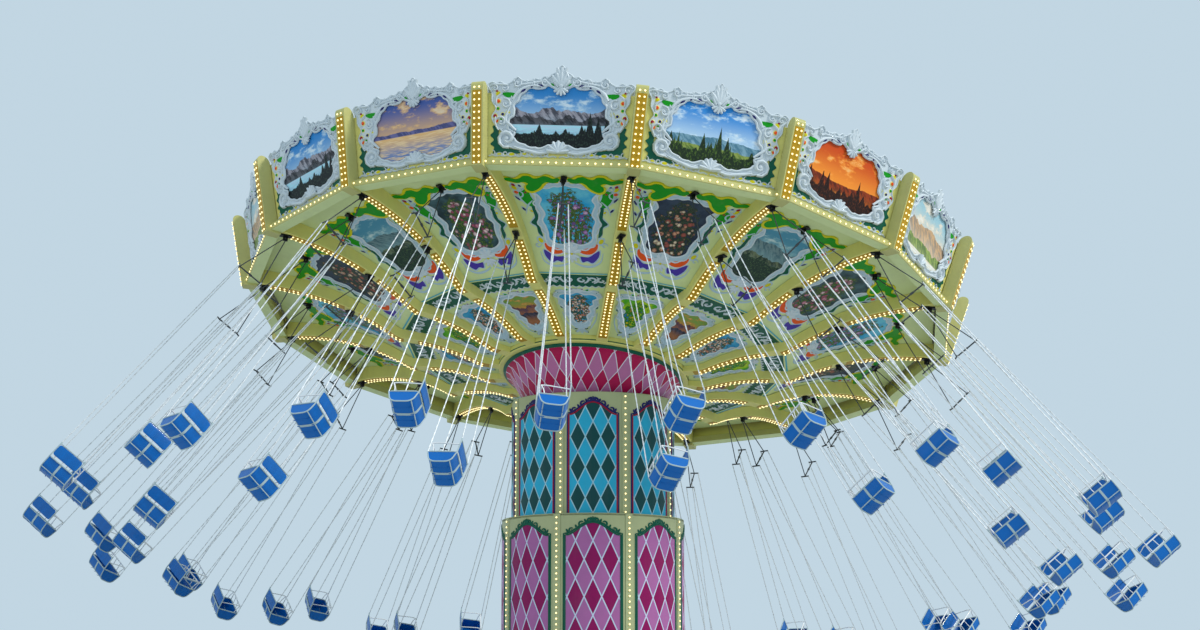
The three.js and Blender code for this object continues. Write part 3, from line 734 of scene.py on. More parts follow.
# White paint of the relief and ceiling lines, made greyer than white as painted shade, for the shade that the rim
# and ceiling stand in
SHADED_WHITE = enamel("white_relief_shaded_enamel", "#D6E0E6", 0.36, "#8498A4", 0.2)
PALE_BLUE = enamel("pale_blue_enamel", "#B8D0DC", 0.4, "#84989A")
SCROLL_GREEN = enamel("leaf_green_enamel", "#029A10")
OLIVE_YELLOW = enamel("olive_yellow_enamel", "#DED30A")
DEEP_GREEN = enamel("deep_green_enamel", "#005C46")
ORANGE = enamel("orange_enamel", "#F4560C")
PURPLE = enamel("purple_enamel", "#4A36A4")
CRIMSON = enamel("crimson_enamel", "#A00030")
NAVY = enamel("navy_enamel", "#1C1D66")
LINE_BLUE = enamel("line_blue_enamel", "#4AB6D0")
BLACK = enamel("black_enamel", "#131416", 0.4, "#3A3733", 0.25)
ROOF = enamel("roof_enamel", "#BFC3B8", 0.55, "#6F6B5E", 0.4, coat=0.0)
HANGER_GREY = enamel("hanger_grey_enamel", "#474C50", 0.42, "#2D2A27", 0.3)
SEAT_BLUE = enamel("seat_blue_enamel", "#0069BE", 0.36, "#1E3656", 0.25, coat=0.12)
FRAME_GREY = enamel("frame_grey_enamel", "#B4C8CC", 0.36, "#6E7072", 0.2, coat=0.1)
LAP_WHITE = enamel("lap_white_enamel", "#F4F6F8", 0.36, "#86837C", 0.15)
DARK_STEEL = metal("greased_steel", "#4A4E52", 0.4)
CHAIN_STEEL = metal("chain_steel", "#E8ECEF", 0.42, 0.2)
LAMP = lamp("warm_lamp")
SOCKET = enamel("lamp_socket", "#C08A10")
TEAL_DIAMONDS = harlequin("teal_diamonds", "#28B4DC", "#004A4C", "#A2CEDE", 0.262, 0.525)
LILAC_DIAMONDS = harlequin("lilac_diamonds", "#B26AA6", "#92005A", "#C4D2E8", 0.297, 0.63)
CAPITAL_COUNT = 32
CAPITAL_DIAMONDS = harlequin("capital_diamonds", "#C674A6", "#BE0050", "#E2E0EE",
                             1.0 / CAPITAL_COUNT, 2.0, (0.0081, 1.0), 0.035)


# Canopy surfaces
def depth_at(radius):
    """How deep a rib is: straight from one of the named depths to the next."""
    (r0, d0), (r1, d1), (r2, d2) = DEPTHS
    if radius >= r1:
        return d1 + (d0 - d1) * (radius - r1) / (r0 - r1)
    return d2 + (d1 - d2) * (radius - r2) / (r1 - r2)


ARCH_POWERS = (2.4, 2.2)


def drop_at(radius):
    """How far the scalloped ribs hang below the rim plane: two arches and a flat end."""
    if radius >= CUSP:
        return CUSP_DROP * max(0.0, (RIB_START - radius) / (RIB_START - CUSP)) ** ARCH_POWERS[0]
    if radius >= ARCH_END:
        inward = (CUSP - radius) / (CUSP - ARCH_END)
        return CUSP_DROP + (ARCH_END_DROP - CUSP_DROP) * inward ** ARCH_POWERS[1]
    return ARCH_END_DROP + (RIB_END_DROP - ARCH_END_DROP) * (ARCH_END - radius) / (ARCH_END - RIB_END)


def rib_low(radius):
    """The height of a rib's underside above the tilt pivot."""
    return RIM_RISE - drop_at(radius)


def ceiling_low(radius):
    """The height of the ceiling's underside, which the ribs' tops meet."""
    return rib_low(radius) + depth_at(radius)


SLOPE_STEP = 0.02


def ceiling_onto(across, out, proud):
    """A place on a ceiling sector's underside: sideways, out along its middle, and below it."""
    here = ceiling_low(out / math.cos(HALF_SECTOR))
    slope = (ceiling_low((out + SLOPE_STEP) / math.cos(HALF_SECTOR)) - here) / SLOPE_STEP
    length = math.hypot(1, slope)
    return Vector((out + slope / length * proud, across, here - proud / length))


def rib_turn(index):
    """The turn to a rib, or to the middle of a sector where the index has a half."""
    return Matrix.Rotation(FIRST_RIB + index * SECTOR, 4, "Z")


def spread_radii(outer, inner, steps):
    """Even steps from the outer radius to the inner one."""
    return [outer + (inner - outer) * i / steps for i in range(steps + 1)]


RIB_EASE = 0.008
RIB_STEPS = 44
STRIP_STEPS = 14
STRIP_SECTION = ((0.075, 0), (0.07, 0.006), (-0.07, 0.006), (-0.075, 0))


def ribs():
    """Sixteen scalloped box ribs, each with yellow lamp strips below."""
    shape = Shape()
    half = RIB_WIDTH / 2
    for i in range(SIDES):
        turn = rib_turn(i)
        rows = []
        for r in spread_radii(RIB_TIP, RIB_END, RIB_STEPS):
            low, high = rib_low(r), ceiling_low(r) - 0.0005
            section = [(half, high), (half, low + RIB_EASE), (half - RIB_EASE, low), (-half + RIB_EASE, low),
                       (-half, low + RIB_EASE), (-half, high)]
            rows.append([turn @ Vector((r, x, z)) for x, z in section])
        shape.grid(rows, 0, closed=True)
        shape.caps(rows)
        for outer, inner in RIB_STRIPS:
            strip = []
            for r in spread_radii(outer, inner, STRIP_STEPS):
                strip.append([turn @ Vector((r, x, rib_low(r) - z)) for x, z in STRIP_SECTION])
            shape.grid(strip, 1)
    piece("scalloped_ribs", shape, [CREAM, YELLOW], "canopy", "cream_paint", baked=CANOPY)


def hub():
    """The round hub: its ring, deck and tube, and a dark line round the ring."""
    shape = Shape()
    inside, radius, ease = HUB_RING_IN, HUB_RADIUS, 0.01
    lathe(shape, [(inside, 0.0), (radius - ease, 0.0), (radius, 0.012), (radius, 0.3), (radius - ease, 0.31),
                  (inside, 0.31)], 96)
    lathe(shape, [(HUB_BORE, 0.25), (1.6, 0.25), (1.6, 0.31), (HUB_BORE, 0.31)], 96)
    lathe(shape, [(HUB_BORE, 0.3), (HUB_TUBE, 0.3), (HUB_TUBE, HUB_TOP), (HUB_BORE, HUB_TOP)], 64)
    lathe(shape, [(radius, 0.022), (radius + 0.005, 0.022), (radius + 0.005, 0.038), (radius, 0.038)], 96, 1)
    hub_ring = piece("canopy_hub", shape, [CREAM, DEEP_GREEN], "canopy", "cream_paint", baked=CANOPY)
    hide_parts("canopy_ribs")


CEILING_STEPS = 40


def ceiling():
    """The ceiling skin: sixteen smooth strips between the ribs, its two faces and its edges."""
    shape = Shape()
    radii = spread_radii(CEILING_OUT, CEILING_IN, CEILING_STEPS)
    for i in range(SIDES):
        for lift, way in ((0.0, -1), (CEILING_SHEET, 1)):
            rows, places = [], []
            for r in radii:
                spot = Vector((r, 0, ceiling_low(r) + lift))
                rows.append([rib_turn(i) @ spot, rib_turn(i + 1) @ spot][::way])
                places.append([(0.0, r), (r * SECTOR, r)][::way])
            shape.grid(rows, 0, places)
    for r, way in ((CEILING_OUT, 1), (CEILING_IN, -1)):
        rim = [(rib_turn(i) @ Vector((r, 0, ceiling_low(r)))) for i in range(SIDES + 1)][::way]
        shape.grid([rim, [p + Vector((0, 0, CEILING_SHEET)) for p in rim]])
    skin = piece("ceiling_skin", shape, [PALE_CREAM], "canopy", "ceiling_paint", baked=CANOPY, sharp=50)
    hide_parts("canopy_ceiling")


CEILING_PAINTS = [PALE_BLUE, SCROLL_GREEN, OLIVE_YELLOW, DEEP_GREEN, ORANGE, PURPLE, CRIMSON, SHADED_WHITE,
                  LINE_BLUE, NAVY]
P_BLUE, P_GREEN, P_YELLOW, P_DEEP, P_ORANGE, P_PURPLE, P_CRIMSON, P_WHITE, P_LINE, P_NAVY = range(10)
SHEET = 0.003

# Half outlines of the painted shapes, in metres: across from the middle, and out from the axis
OUTER_PICTURE = [(0.0, 3.95), (0.14, 3.91), (0.27, 3.94), (0.36, 4.02), (0.37, 4.14), (0.4, 4.26),
                 (0.44, 4.38), (0.39, 4.5), (0.42, 4.61), (0.46, 4.72), (0.42, 4.83), (0.46, 4.92),
                 (0.52, 5.0), (0.49, 5.08), (0.4, 5.11), (0.29, 5.1), (0.19, 5.15), (0.1, 5.15), (0.0, 5.19)]
PICTURE_MARGIN = 0.075
INNER_PICTURE = [(0.0, 2.02), (0.07, 2.06), (0.13, 2.13), (0.12, 2.22), (0.19, 2.31), (0.17, 2.41),
                 (0.25, 2.48), (0.25, 2.58), (0.33, 2.64), (0.31, 2.72), (0.22, 2.76), (0.12, 2.75),
                 (0.0, 2.81)]
CLOUD = [(0.06, 5.34), (0.11, 5.27), (0.19, 5.25), (0.28, 5.27), (0.35, 5.22), (0.39, 5.15), (0.45, 5.08),
         (0.54, 5.03), (0.62, 5.07), (0.63, 5.16), (0.59, 5.22), (0.66, 5.26), (0.76, 5.23), (0.85, 5.26),
         (0.94, 5.29), (0.98, 5.34), (0.89, 5.37), (0.79, 5.33), (0.71, 5.36), (0.65, 5.42), (0.55, 5.42),
         (0.48, 5.36), (0.4, 5.38), (0.32, 5.43), (0.24, 5.41), (0.17, 5.36), (0.1, 5.39)]
BEAN = [(0.55, 4.65), (0.65, 4.7), (0.74, 4.84), (0.77, 4.98), (0.7, 5.06), (0.61, 5.01), (0.58, 4.89),
        (0.54, 4.77)]
SIDE_SCROLL = [(0.46, 4.05), (0.53, 4.12), (0.55, 4.25), (0.63, 4.32), (0.56, 4.42), (0.57, 4.52),
               (0.59, 4.66), (0.54, 4.7), (0.52, 4.56), (0.5, 4.46), (0.52, 4.32), (0.48, 4.18)]
CRESCENT = [(0.12, 3.8), (0.2, 3.75), (0.32, 3.75), (0.42, 3.83), (0.44, 3.93), (0.36, 3.9), (0.27, 3.86),
            (0.17, 3.86)]
UNDER_CRESCENT = [(0.14, 3.7), (0.17, 3.61), (0.25, 3.63), (0.34, 3.6), (0.44, 3.7), (0.46, 3.81),
                  (0.37, 3.76), (0.28, 3.7), (0.2, 3.7)]
BAND_OUT, BAND_IN = 3.36, 3.0
BLUE_LINE = (3.42, 3.39)
BAND = 0.08
FRAME_SHEET = 0.008
CLOUD_LIFT = 0.018
OUTER_THEMES = (0, 1, 2, 3) * 4
INNER_THEMES = (1, 2, 0, 1, 2, 0, 1, 2, 0, 1, 2, 0, 1, 0, 2, 0)


def pushed(outline, amount):
    """The outline with each point moved outward from the middle by the amount that a rule gives it."""
    count = len(outline)
    cx, cy = (sum(p[axis] for p in outline) / count for axis in (0, 1))
    out = []
    for i, (x, y) in enumerate(outline):
        push = amount(i / count) / math.hypot(x - cx, y - cy)
        out.append((x + (x - cx) * push, y + (y - cy) * push))
    return out


def grown(outline, margin):
    """The outline moved outward from its middle by about the margin."""
    return pushed(outline, lambda share: margin)


def rippled(outline, depth, waves):
    """The outline with small scallops."""
    return pushed(outline, lambda share: depth * abs(math.sin(math.pi * waves * share)))


def both_sides(draw):
    """Draws one side of an ornament, and then its mirror image."""
    for side in (1, -1):
        draw(lambda x, y, side=side: (side * x, y))


def flipped(points, flip):
    """The points, or their mirror images."""
    return [flip(x, y) for x, y in points]


def outlined_patch(shape, points, finish, edge, edge_width, flip, lift=SHEET):
    """A painted shape with a wider one in the edge's colour below it."""
    curve = smoothed(flipped(points, flip), 4)
    patch(shape, grown(curve, edge_width), lift, ceiling_onto, edge, bands=BAND)
    patch(shape, curve, SHEET, ceiling_onto, finish, base=lift, bands=BAND)


def shell(shape, x, y, size, onto, finish, leaves=7, spread=2.4, height=0.012, base=0.0, way=1):
    """A fan of rounded leaves, opening towards +y, or towards -y where way is -1."""
    def leaf_width(share):
        return size * (0.12 + 0.3 * math.sin(math.pi * min(1, 0.25 + share * 0.62)))

    for k in range(leaves):
        angle = way * math.pi / 2 + spread * (k / (leaves - 1) - 0.5)
        reach = [size * share for share in (0.1, 0.4, 0.75, 1.0)]
        path = [(x + far * math.cos(angle), y + far * math.sin(angle)) for far in reach]
        stroke(shape, path, leaf_width, height, onto, finish, base)
    dome(shape, x, y, size * 0.2, height * 1.3, onto, finish, base)


def ceiling_line(shape, path, width, finish=P_BLUE, height=0.007):
    """A thin painted line on the ceiling, narrow at its ends."""
    stroke(shape, path, taper(width), height, ceiling_onto, finish, SHEET)


def ceiling_curve(shape, flip, points, width):
    """A thin painted line through the points, which may be mirrored."""
    ceiling_line(shape, smoothed(flipped(points, flip), 4, False), width)


def ceiling_spots(shape, flip, spots):
    """Small oval buttons, each on a pale ground."""
    turn = flip(0.9, 0)[0]
    for x, y, size, paint, long in spots:
        px, py = flip(x, y)
        dome(shape, px, py, size * 1.35, 0.005, ceiling_onto, P_BLUE, long=long, turn=turn)
        dome(shape, px, py, size, 0.01, ceiling_onto, paint, long=long, turn=turn)


def outer_ornament(shape, flip):
    """One side of the ornament round the outer picture."""
    side = flip(1, 0)[0]
    outlined_patch(shape, CLOUD, P_GREEN, P_YELLOW, 0.05, flip, CLOUD_LIFT)
    outlined_patch(shape, BEAN, P_GREEN, P_BLUE, 0.03, flip)
    ceiling_spots(shape, flip, ((0.84, 5.16, 0.032, P_CRIMSON, 1.6), (0.83, 5.09, 0.045, P_YELLOW, 1.7),
                                (0.81, 4.98, 0.04, P_ORANGE, 1.3), (0.74, 5.14, 0.024, P_NAVY, 1.6),
                                (0.66, 4.98, 0.026, P_CRIMSON, 1.2), (0.8, 4.84, 0.022, P_NAVY, 3.4),
                                (0.72, 4.6, 0.022, P_NAVY, 2.6), (0.6, 4.56, 0.026, P_YELLOW, 1.6),
                                (0.05, 5.28, 0.02, P_CRIMSON, 1.3)))
    for x, y, size, start in ((0.78, 4.92, 0.1, math.pi / 2), (0.74, 5.08, 0.06, 0.0)):
        ceiling_line(shape, spiral(side * x, y, size, 0.02, start, side * 0.85), 0.036, height=0.009)
    outlined_patch(shape, SIDE_SCROLL, P_DEEP, P_BLUE, 0.028, flip)
    ceiling_spots(shape, flip, ((0.5, 3.98, 0.045, P_YELLOW, 1.5),))
    ceiling_curve(shape, flip, [(0.56, 4.8), (0.66, 4.66), (0.69, 4.5)], 0.036)
    outlined_patch(shape, CRESCENT, P_ORANGE, P_WHITE, 0.026, flip)
    outlined_patch(shape, UNDER_CRESCENT, P_PURPLE, P_BLUE, 0.026, flip)
    ceiling_curve(shape, flip, [(0.04, 3.6), (0.16, 3.55), (0.32, 3.54), (0.47, 3.62), (0.52, 3.78)], 0.036)
    ceiling_line(shape, spiral(side * 0.55, 3.9, 0.055, 0.012, 0, side * 0.9), 0.026, height=0.009)


def band_ornament(shape, flip):
    """One side of the white scrolls on the dark band."""
    side = flip(1, 0)[0]
    for k in range(3):
        x = 0.12 + 0.165 * k
        y, start = 3.18 + 0.03 * (k % 2), math.pi / 2 * (1 + k % 2 * 2)
        ceiling_line(shape, spiral(side * x, y, 0.082, 0.02, start, side * 0.95), 0.042, P_WHITE, 0.01)
        link = ((0.03, 3.09), (0.09, 3.14), (0.12, 3.24), (0.09, 3.3))
        swing = [(side * (x + dx), y) for dx, y in link]
        ceiling_line(shape, smoothed(swing, 3, False), 0.04, P_WHITE, 0.01)


def inner_ornament(shape, flip):
    """One side of the ornament round the inner picture."""
    ceiling_spots(shape, flip, ((0.17, 2.86, 0.026, P_GREEN, 1.8), (0.08, 2.88, 0.022, P_CRIMSON, 1.5),
                                (0.34, 2.8, 0.022, P_DEEP, 2.0), (0.3, 2.4, 0.02, P_DEEP, 1.8)))
    ceiling_curve(shape, flip, [(0.03, 2.86), (0.18, 2.83), (0.32, 2.85), (0.38, 2.74)], 0.036)
    ceiling_curve(shape, flip, [(0.36, 2.66), (0.3, 2.48), (0.24, 2.3), (0.18, 2.1), (0.06, 1.96)], 0.036)
    ceiling_curve(shape, flip, [(0.3, 2.3), (0.26, 2.12), (0.18, 1.98), (0.1, 1.86)], 0.024)
    for k in range(4):
        px, py = flip(0.05 + 0.04 * (k % 2), 1.99 - 0.06 * k)
        dome(shape, px, py, 0.022, 0.006, ceiling_onto, P_DEEP if k % 2 else P_BLUE, SHEET, 1.6, k * 0.7)


BAND_GAP = 0.005
BAND_WAVES = 9
WAVE_STEPS = 6
WAVE_DEPTH = 0.045


def dark_band(shape):
    """The dark band across a sector, its scalloped white edge and the blue line beyond it."""
    def reach(y):
        return y * math.tan(HALF_SECTOR) - RIB_WIDTH / 2 - BAND_GAP

    low, high = BAND_IN, BAND_OUT
    patch(shape, [(-reach(low), low), (reach(low), low), (reach(high), high), (-reach(high), high)], SHEET,
          ceiling_onto, P_DEEP, bands=BAND)
    edge = []
    for k in range(WAVE_STEPS * BAND_WAVES + 1):
        dip = WAVE_DEPTH * abs(math.sin(math.pi * k / WAVE_STEPS))
        edge.append((reach(low) * (2 * k / (WAVE_STEPS * BAND_WAVES) - 1), low - dip))
    skirt = [*edge, (reach(low), low + 0.01), (-reach(low), low + 0.01)]
    patch(shape, skirt, SHEET, ceiling_onto, P_DEEP, bands=BAND)
    stroke(shape, edge, 0.02, 0.007, ceiling_onto, P_WHITE, SHEET)
    y = sum(BLUE_LINE) / 2
    width = BLUE_LINE[0] - BLUE_LINE[1]
    stroke(shape, [(-reach(y), y), (0, y), (reach(y), y)], width, 0.004, ceiling_onto, P_LINE)


# Shells on a sector's middle line: distance out, size, finish, number of leaves, spread and way
CEILING_SHELLS = ((3.78, 0.16, P_WHITE, 5, 2.7, 1), (3.74, 0.13, P_WHITE, 5, 2.4, -1),
                  (5.24, 0.11, P_WHITE, 5, 2.2, 1), (1.96, 0.14, P_BLUE, 5, 2.4, 1),
                  (1.94, 0.16, P_BLUE, 3, 1.2, -1), (2.83, 0.1, P_WHITE, 5, 2.6, 1))


def ceiling_painting():
    """One sector's painted ornament, as thin coloured shapes with raised pale edges."""
    shape = Shape()
    onto = ceiling_onto
    for half in (OUTER_PICTURE, INNER_PICTURE):
        loop = smoothed(mirrored(half), 4)
        wide = grown(loop, PICTURE_MARGIN)
        patch(shape, wide, FRAME_SHEET, onto, P_BLUE, hole=loop, bands=BAND)
        ring_stroke(shape, loop, 0.03, 0.009, onto, P_WHITE, FRAME_SHEET)
        ring_stroke(shape, rippled(wide, 0.026, 34), 0.026, 0.008, onto, P_WHITE, FRAME_SHEET)
    for draw in (outer_ornament, band_ornament, inner_ornament):
        both_sides(lambda flip, draw=draw: draw(shape, flip))
    dark_band(shape)
    for y, size, finish, leaves, spread, way in CEILING_SHELLS:
        shell(shape, 0.0, y, size, onto, finish, leaves, spread, 0.012, FRAME_SHEET, way)
    dome(shape, 0.0, 3.76, 0.03, 0.02, onto, P_YELLOW, FRAME_SHEET)
    return shape


def ceiling_ornament():
    """The painted ornament in each sector."""
    make = sharer(ceiling_painting(), CEILING_PAINTS, "ceiling_paint", 50)
    for i in range(SIDES):
        make(f"ceiling_ornament_{i + 1:02d}", "canopy", CANOPY @ rib_turn(i + 0.5))


def picture(name, outline, onto, finish, matrix, middle, size, bands=0.0):
    """A painted picture inside an outline; its places run from about -1 to 1 across."""
    shape = Shape()
    patch(shape, outline, SHEET, onto, bands=bands)
    shape.places = [((x - middle[0]) / size, (y - middle[1]) / size) for x, y in shape.places]
    piece(name, shape, [finish], "canopy", "ceiling_paint", matrix)


def outer_paintings():
    """The four paintings of the outer pictures."""
    leaves = ("#5F7A35", "#26401F")
    return [
        bouquet("bouquet_navy", 1.0, "#1F2A3E", "#35465A", ("#D9A07C", "#A8584A", "#E9DAB8", "#6B3A34"),
                ("#3F5038", "#1B261F")),
        scenery("garden_teal", 3.1, "#9CC3C6", "#4A8FA8", "#D9E3DC",
                [(0.2, 0.2, 1.6, "#6F8A8C", "#3C5F6B"), (-0.2, 0.12, 3.0, "#6E7A5C", "#36453A")],
                (-0.5, "#4D8793", "#B9D4CF"), (-0.35, 0.3, "#23382F", "#4F6B45")),
        bouquet("bouquet_rose", 4.7, "#22383E", "#4A6A70", ("#D48FA0", "#B0526A", "#F0D6D2", "#7A3A4C"),
                leaves),
        bouquet("bouquet_lilac", 2.3, "#18A0D6", "#6CC8DE", ("#B584C2", "#8259A6", "#DDB4D2", "#5A3F6B"),
                leaves),
    ]


def inner_paintings():
    """The three paintings of the inner pictures."""
    return [
        bouquet("posy_blue", 5.2, "#1B8FC6", "#4FB2D8", ("#F2E4D0", "#D48A6C", "#FFF4E2", "#8A5646"),
                ("#4F6B40", "#233A2C"), 0.52),
        bouquet("posy_green", 6.6, "#4DB024", "#BCD824", ("#F2D024", "#2A80C8", "#E89A24", "#2B6A1E"),
                ("#3A8F24", "#1A6618"), 0.52),
        scenery("dusk_inner", 7.9, "#DE8A3C", "#7A9F48", "#F0C684",
                [(0.1, 0.24, 2.4, "#8A5444", "#503E58"), (-0.3, 0.14, 4.0, "#44445A", "#262A36")]),
    ]


def ceiling_pictures():
    """An outer and an inner picture in each sector."""
    kinds = (("ceiling_picture", OUTER_PICTURE, outer_paintings(), OUTER_THEMES, (0, 4.57), 0.7),
             ("inner_picture", INNER_PICTURE, inner_paintings(), INNER_THEMES, (0, 2.45), 0.4))
    for i in range(SIDES):
        for kind, half, paintings, themes, middle, size in kinds:
            picture(f"{kind}_{i + 1:02d}", smoothed(mirrored(half), 4), ceiling_onto, paintings[themes[i]],
                    CANOPY @ rib_turn(i + 0.5), middle, size, BAND)


# Rim
def board_place(index):
    """The place of a rim board's face: across, up the lean, and out."""
    middle = FIRST_RIB + (index + 0.5) * SECTOR
    outward = around(1.0, middle)
    across = Vector((-math.sin(middle), math.cos(middle), 0))
    up = (outward * LEAN * math.cos(HALF_SECTOR) + Vector((0, 0, 1))).normalized()
    foot = outward * BOARD_RADIUS * math.cos(HALF_SECTOR) + Vector((0, 0, RIM_RISE))
    turn = Matrix((across, up, across.cross(up))).transposed().to_4x4()
    return CANOPY @ Matrix.Translation(foot) @ turn


BOARD_PAINTS = [CREAM, SHADED_WHITE, SCROLL_GREEN, OLIVE_YELLOW, DEEP_GREEN, ORANGE, NAVY, CRIMSON]
B_CREAM, B_WHITE, B_GREEN, B_YELLOW, B_DEEP, B_ORANGE, B_NAVY, B_CRIMSON = range(8)

# Half outlines on a rim board, in metres: across from the middle, and up from its foot line
RIM_PICTURE = [(0.0, 0.43), (0.13, 0.385), (0.3, 0.335), (0.44, 0.35), (0.59, 0.4), (0.71, 0.48),
               (0.7, 0.57), (0.8, 0.65), (0.78, 0.79), (0.71, 0.87), (0.73, 0.98), (0.67, 1.09),
               (0.59, 1.21), (0.46, 1.29), (0.32, 1.27), (0.22, 1.32), (0.11, 1.3), (0.0, 1.22)]
RIM_FRAME = [(0.0, 0.29), (0.2, 0.28), (0.4, 0.285), (0.6, 0.305), (0.8, 0.35), (0.92, 0.45), (0.9, 0.58),
             (1.01, 0.68), (1.08, 0.81), (1.02, 0.95), (1.09, 1.07), (1.1, 1.2), (1.15, 1.27)]
CREST = [(1.17, 1.33), (1.11, 1.375), (1.04, 1.36), (0.97, 1.38), (0.89, 1.345), (0.81, 1.37), (0.75, 1.42),
         (0.7, 1.465), (0.64, 1.42), (0.57, 1.4), (0.49, 1.41), (0.42, 1.445), (0.34, 1.43), (0.27, 1.48),
         (0.2, 1.47), (0.14, 1.52), (0.09, 1.55), (0.05, 1.61), (0.0, 1.66)]
LEAF_CORNER = [(0.55, 0.275), (0.66, 0.235), (0.76, 0.26), (0.84, 0.225), (0.93, 0.26), (1.03, 0.23),
               (1.02, 0.33), (1.08, 0.38), (1.03, 0.45), (1.09, 0.52), (1.04, 0.58), (1.06, 0.67),
               (0.97, 0.66), (0.96, 0.54), (0.95, 0.44), (0.88, 0.35), (0.75, 0.31)]
SIDE_LEAF = [(0.68, 1.19), (0.76, 1.14), (0.87, 1.14), (0.94, 1.2), (0.82, 1.215)]
RELIEF = 0.02
RIM_THEMES = (0, 3, 4, 1, 2, 0, 3, 1, 4, 2, 0, 3, 4, 1, 2, 1)


def on_board(x, y, z):
    """A place on a rim board: across, up from its foot line, and proud of its face."""
    return Vector((x, y, z))


def board_ground(shape):
    """The cream board behind the ornament: front, back and edges."""
    half_foot, half_top, low, high = 1.18, 1.23, 0.106, 1.2
    outline = [(-half_foot, low), (half_foot, low), (half_top, high), (-half_top, high)]
    patch(shape, outline, BOARD_SHEET, on_board, B_CREAM, base=-BOARD_SHEET, back=True)


CREST_FOOT = 1.19
LEAF_RING = 1.055
PICTURE_HEART = 0.8


def board_frame(shape):
    """The white frame: its sheet, the back of its crest, raised edges and a ring of small leaves."""
    picture_edge = rippled(smoothed(mirrored(RIM_PICTURE), 5), 0.022, 28)
    frame_edge = smoothed(mirrored([*RIM_FRAME, *CREST]), 4)
    patch(shape, frame_edge, RELIEF, on_board, B_WHITE, hole=picture_edge)
    crest = sorted((p for p in frame_edge if p[1] > CREST_FOOT), key=lambda p: p[0])[::-1]
    behind = [on_board(x, CREST_FOOT - 0.02, -0.02) for x, _ in crest]
    shape.grid([behind, [on_board(x, y, 0.0) for x, y in crest]], B_WHITE)
    ring = grown(smoothed(mirrored(RIM_PICTURE), 3), 0.07)
    edges = ((picture_edge, 0.04, 0.024), (frame_edge, 0.026, 0.018), (ring, 0.016, 0.01))
    for loop, width, height in edges:
        ring_stroke(shape, loop, width, height, on_board, B_WHITE, RELIEF)
    for k in range(0, len(ring), 3):
        (x, y), (nx, ny) = ring[k], ring[(k + 1) % len(ring)]
        turn = math.atan2(ny - y, nx - x) + math.pi / 2 - 0.5
        dome(shape, x * LEAF_RING, PICTURE_HEART + (y - PICTURE_HEART) * LEAF_RING, 0.018, 0.016, on_board,
             B_WHITE, RELIEF, 2.2, turn)


def board_scroll(shape, side, x, y, big, small, start, turns, width, height=0.034):
    """A curl with a button at its heart, mirrored where side is -1."""
    angle = start if side > 0 else math.pi - start
    curl = spiral(side * x, y, big, small, angle, side * turns)
    stroke(shape, curl, taper(width), height, on_board, B_WHITE, RELIEF)
    dome(shape, side * x, y, small * 1.5, height * 1.1, on_board, B_WHITE, RELIEF)


# On the right half of a rim board. Curls: middle, outer and inner radius, start, turns, width, height
BOARD_CURLS = ((0.82, 0.47, 0.15, 0.03, -1.9, 1.35, 0.075, 0.045), (0.93, 0.74, 0.1, 0.02, -0.6, 1.2, 0.05),
               (0.87, 1.03, 0.09, 0.02, 1.2, 1.1, 0.045), (0.7, 1.36, 0.07, 0.015, 2.4, 1.1, 0.04),
               (1.06, 1.28, 0.06, 0.014, 0.6, 1.1, 0.036), (0.26, 1.39, 0.075, 0.016, 2.8, 1.1, 0.04),
               (0.9, 1.28, 0.06, 0.014, 2.2, 1.0, 0.034), (0.46, 1.36, 0.05, 0.012, 0.4, 1.0, 0.03),
               (0.1, 1.42, 0.05, 0.012, 0.9, 1.0, 0.03))
# Leaf lines: width, height and points
BOARD_LINES = ((0.06, 0.03, [(0.12, 0.27), (0.3, 0.245), (0.46, 0.28), (0.6, 0.31), (0.72, 0.35)]),
               (0.055, 0.03, [(0.68, 0.6), (0.77, 0.68), (0.86, 0.77), (0.83, 0.9), (0.79, 0.99)]),
               (0.065, 0.036, [(0.76, 1.1), (0.7, 1.2), (0.58, 1.29), (0.42, 1.33), (0.26, 1.3)]),
               (0.045, 0.03, [(0.22, 1.42), (0.36, 1.39), (0.52, 1.36), (0.64, 1.34), (0.76, 1.3)]),
               (0.04, 0.03, [(0.93, 1.2), (1.02, 1.12), (1.01, 1.0)]),
               (0.04, 0.03, [(0.96, 0.6), (1.02, 0.72), (1.02, 0.84)]),
               (0.055, 0.04, [(0.04, 1.3), (0.11, 1.4), (0.1, 1.5), (0.03, 1.62)]),
               (0.05, 0.034, [(0.08, 1.28), (0.19, 1.36), (0.28, 1.45)]),
               (0.034, 0.03, [(0.76, 1.38), (0.75, 1.43), (0.7, 1.45)]),
               (0.04, 0.03, [(0.84, 1.33), (0.96, 1.34), (1.08, 1.34), (1.14, 1.3)]))
CREST_BUTTONS = ((0.15, 1.5), (0.23, 1.46), (0.34, 1.43), (0.44, 1.43), (0.55, 1.4), (0.63, 1.4))
# Painted buttons: place, radius and finish
SIDE_BUTTONS = ((1.0, 1.19, 0.036, B_YELLOW), (0.99, 1.07, 0.036, B_ORANGE), (0.99, 0.95, 0.028, B_GREEN),
                (0.83, 0.89, 0.03, B_YELLOW), (0.91, 0.86, 0.028, B_NAVY), (1.03, 0.83, 0.036, B_CRIMSON),
                (1.0, 0.75, 0.034, B_ORANGE), (0.93, 0.78, 0.02, B_GREEN))
# Navy leaves above the picture: place, length and turn
TOP_LEAVES = ((0.33, 1.325, 1.9, 0.1), (0.47, 1.315, 1.2, -0.3), (0.6, 1.255, 2.0, -0.6))
FOOT_BUTTONS = ((0.32, 0.243, 0.036), (0.53, 0.236, 0.028), (0.73, 0.222, 0.036), (0.93, 0.222, 0.028))


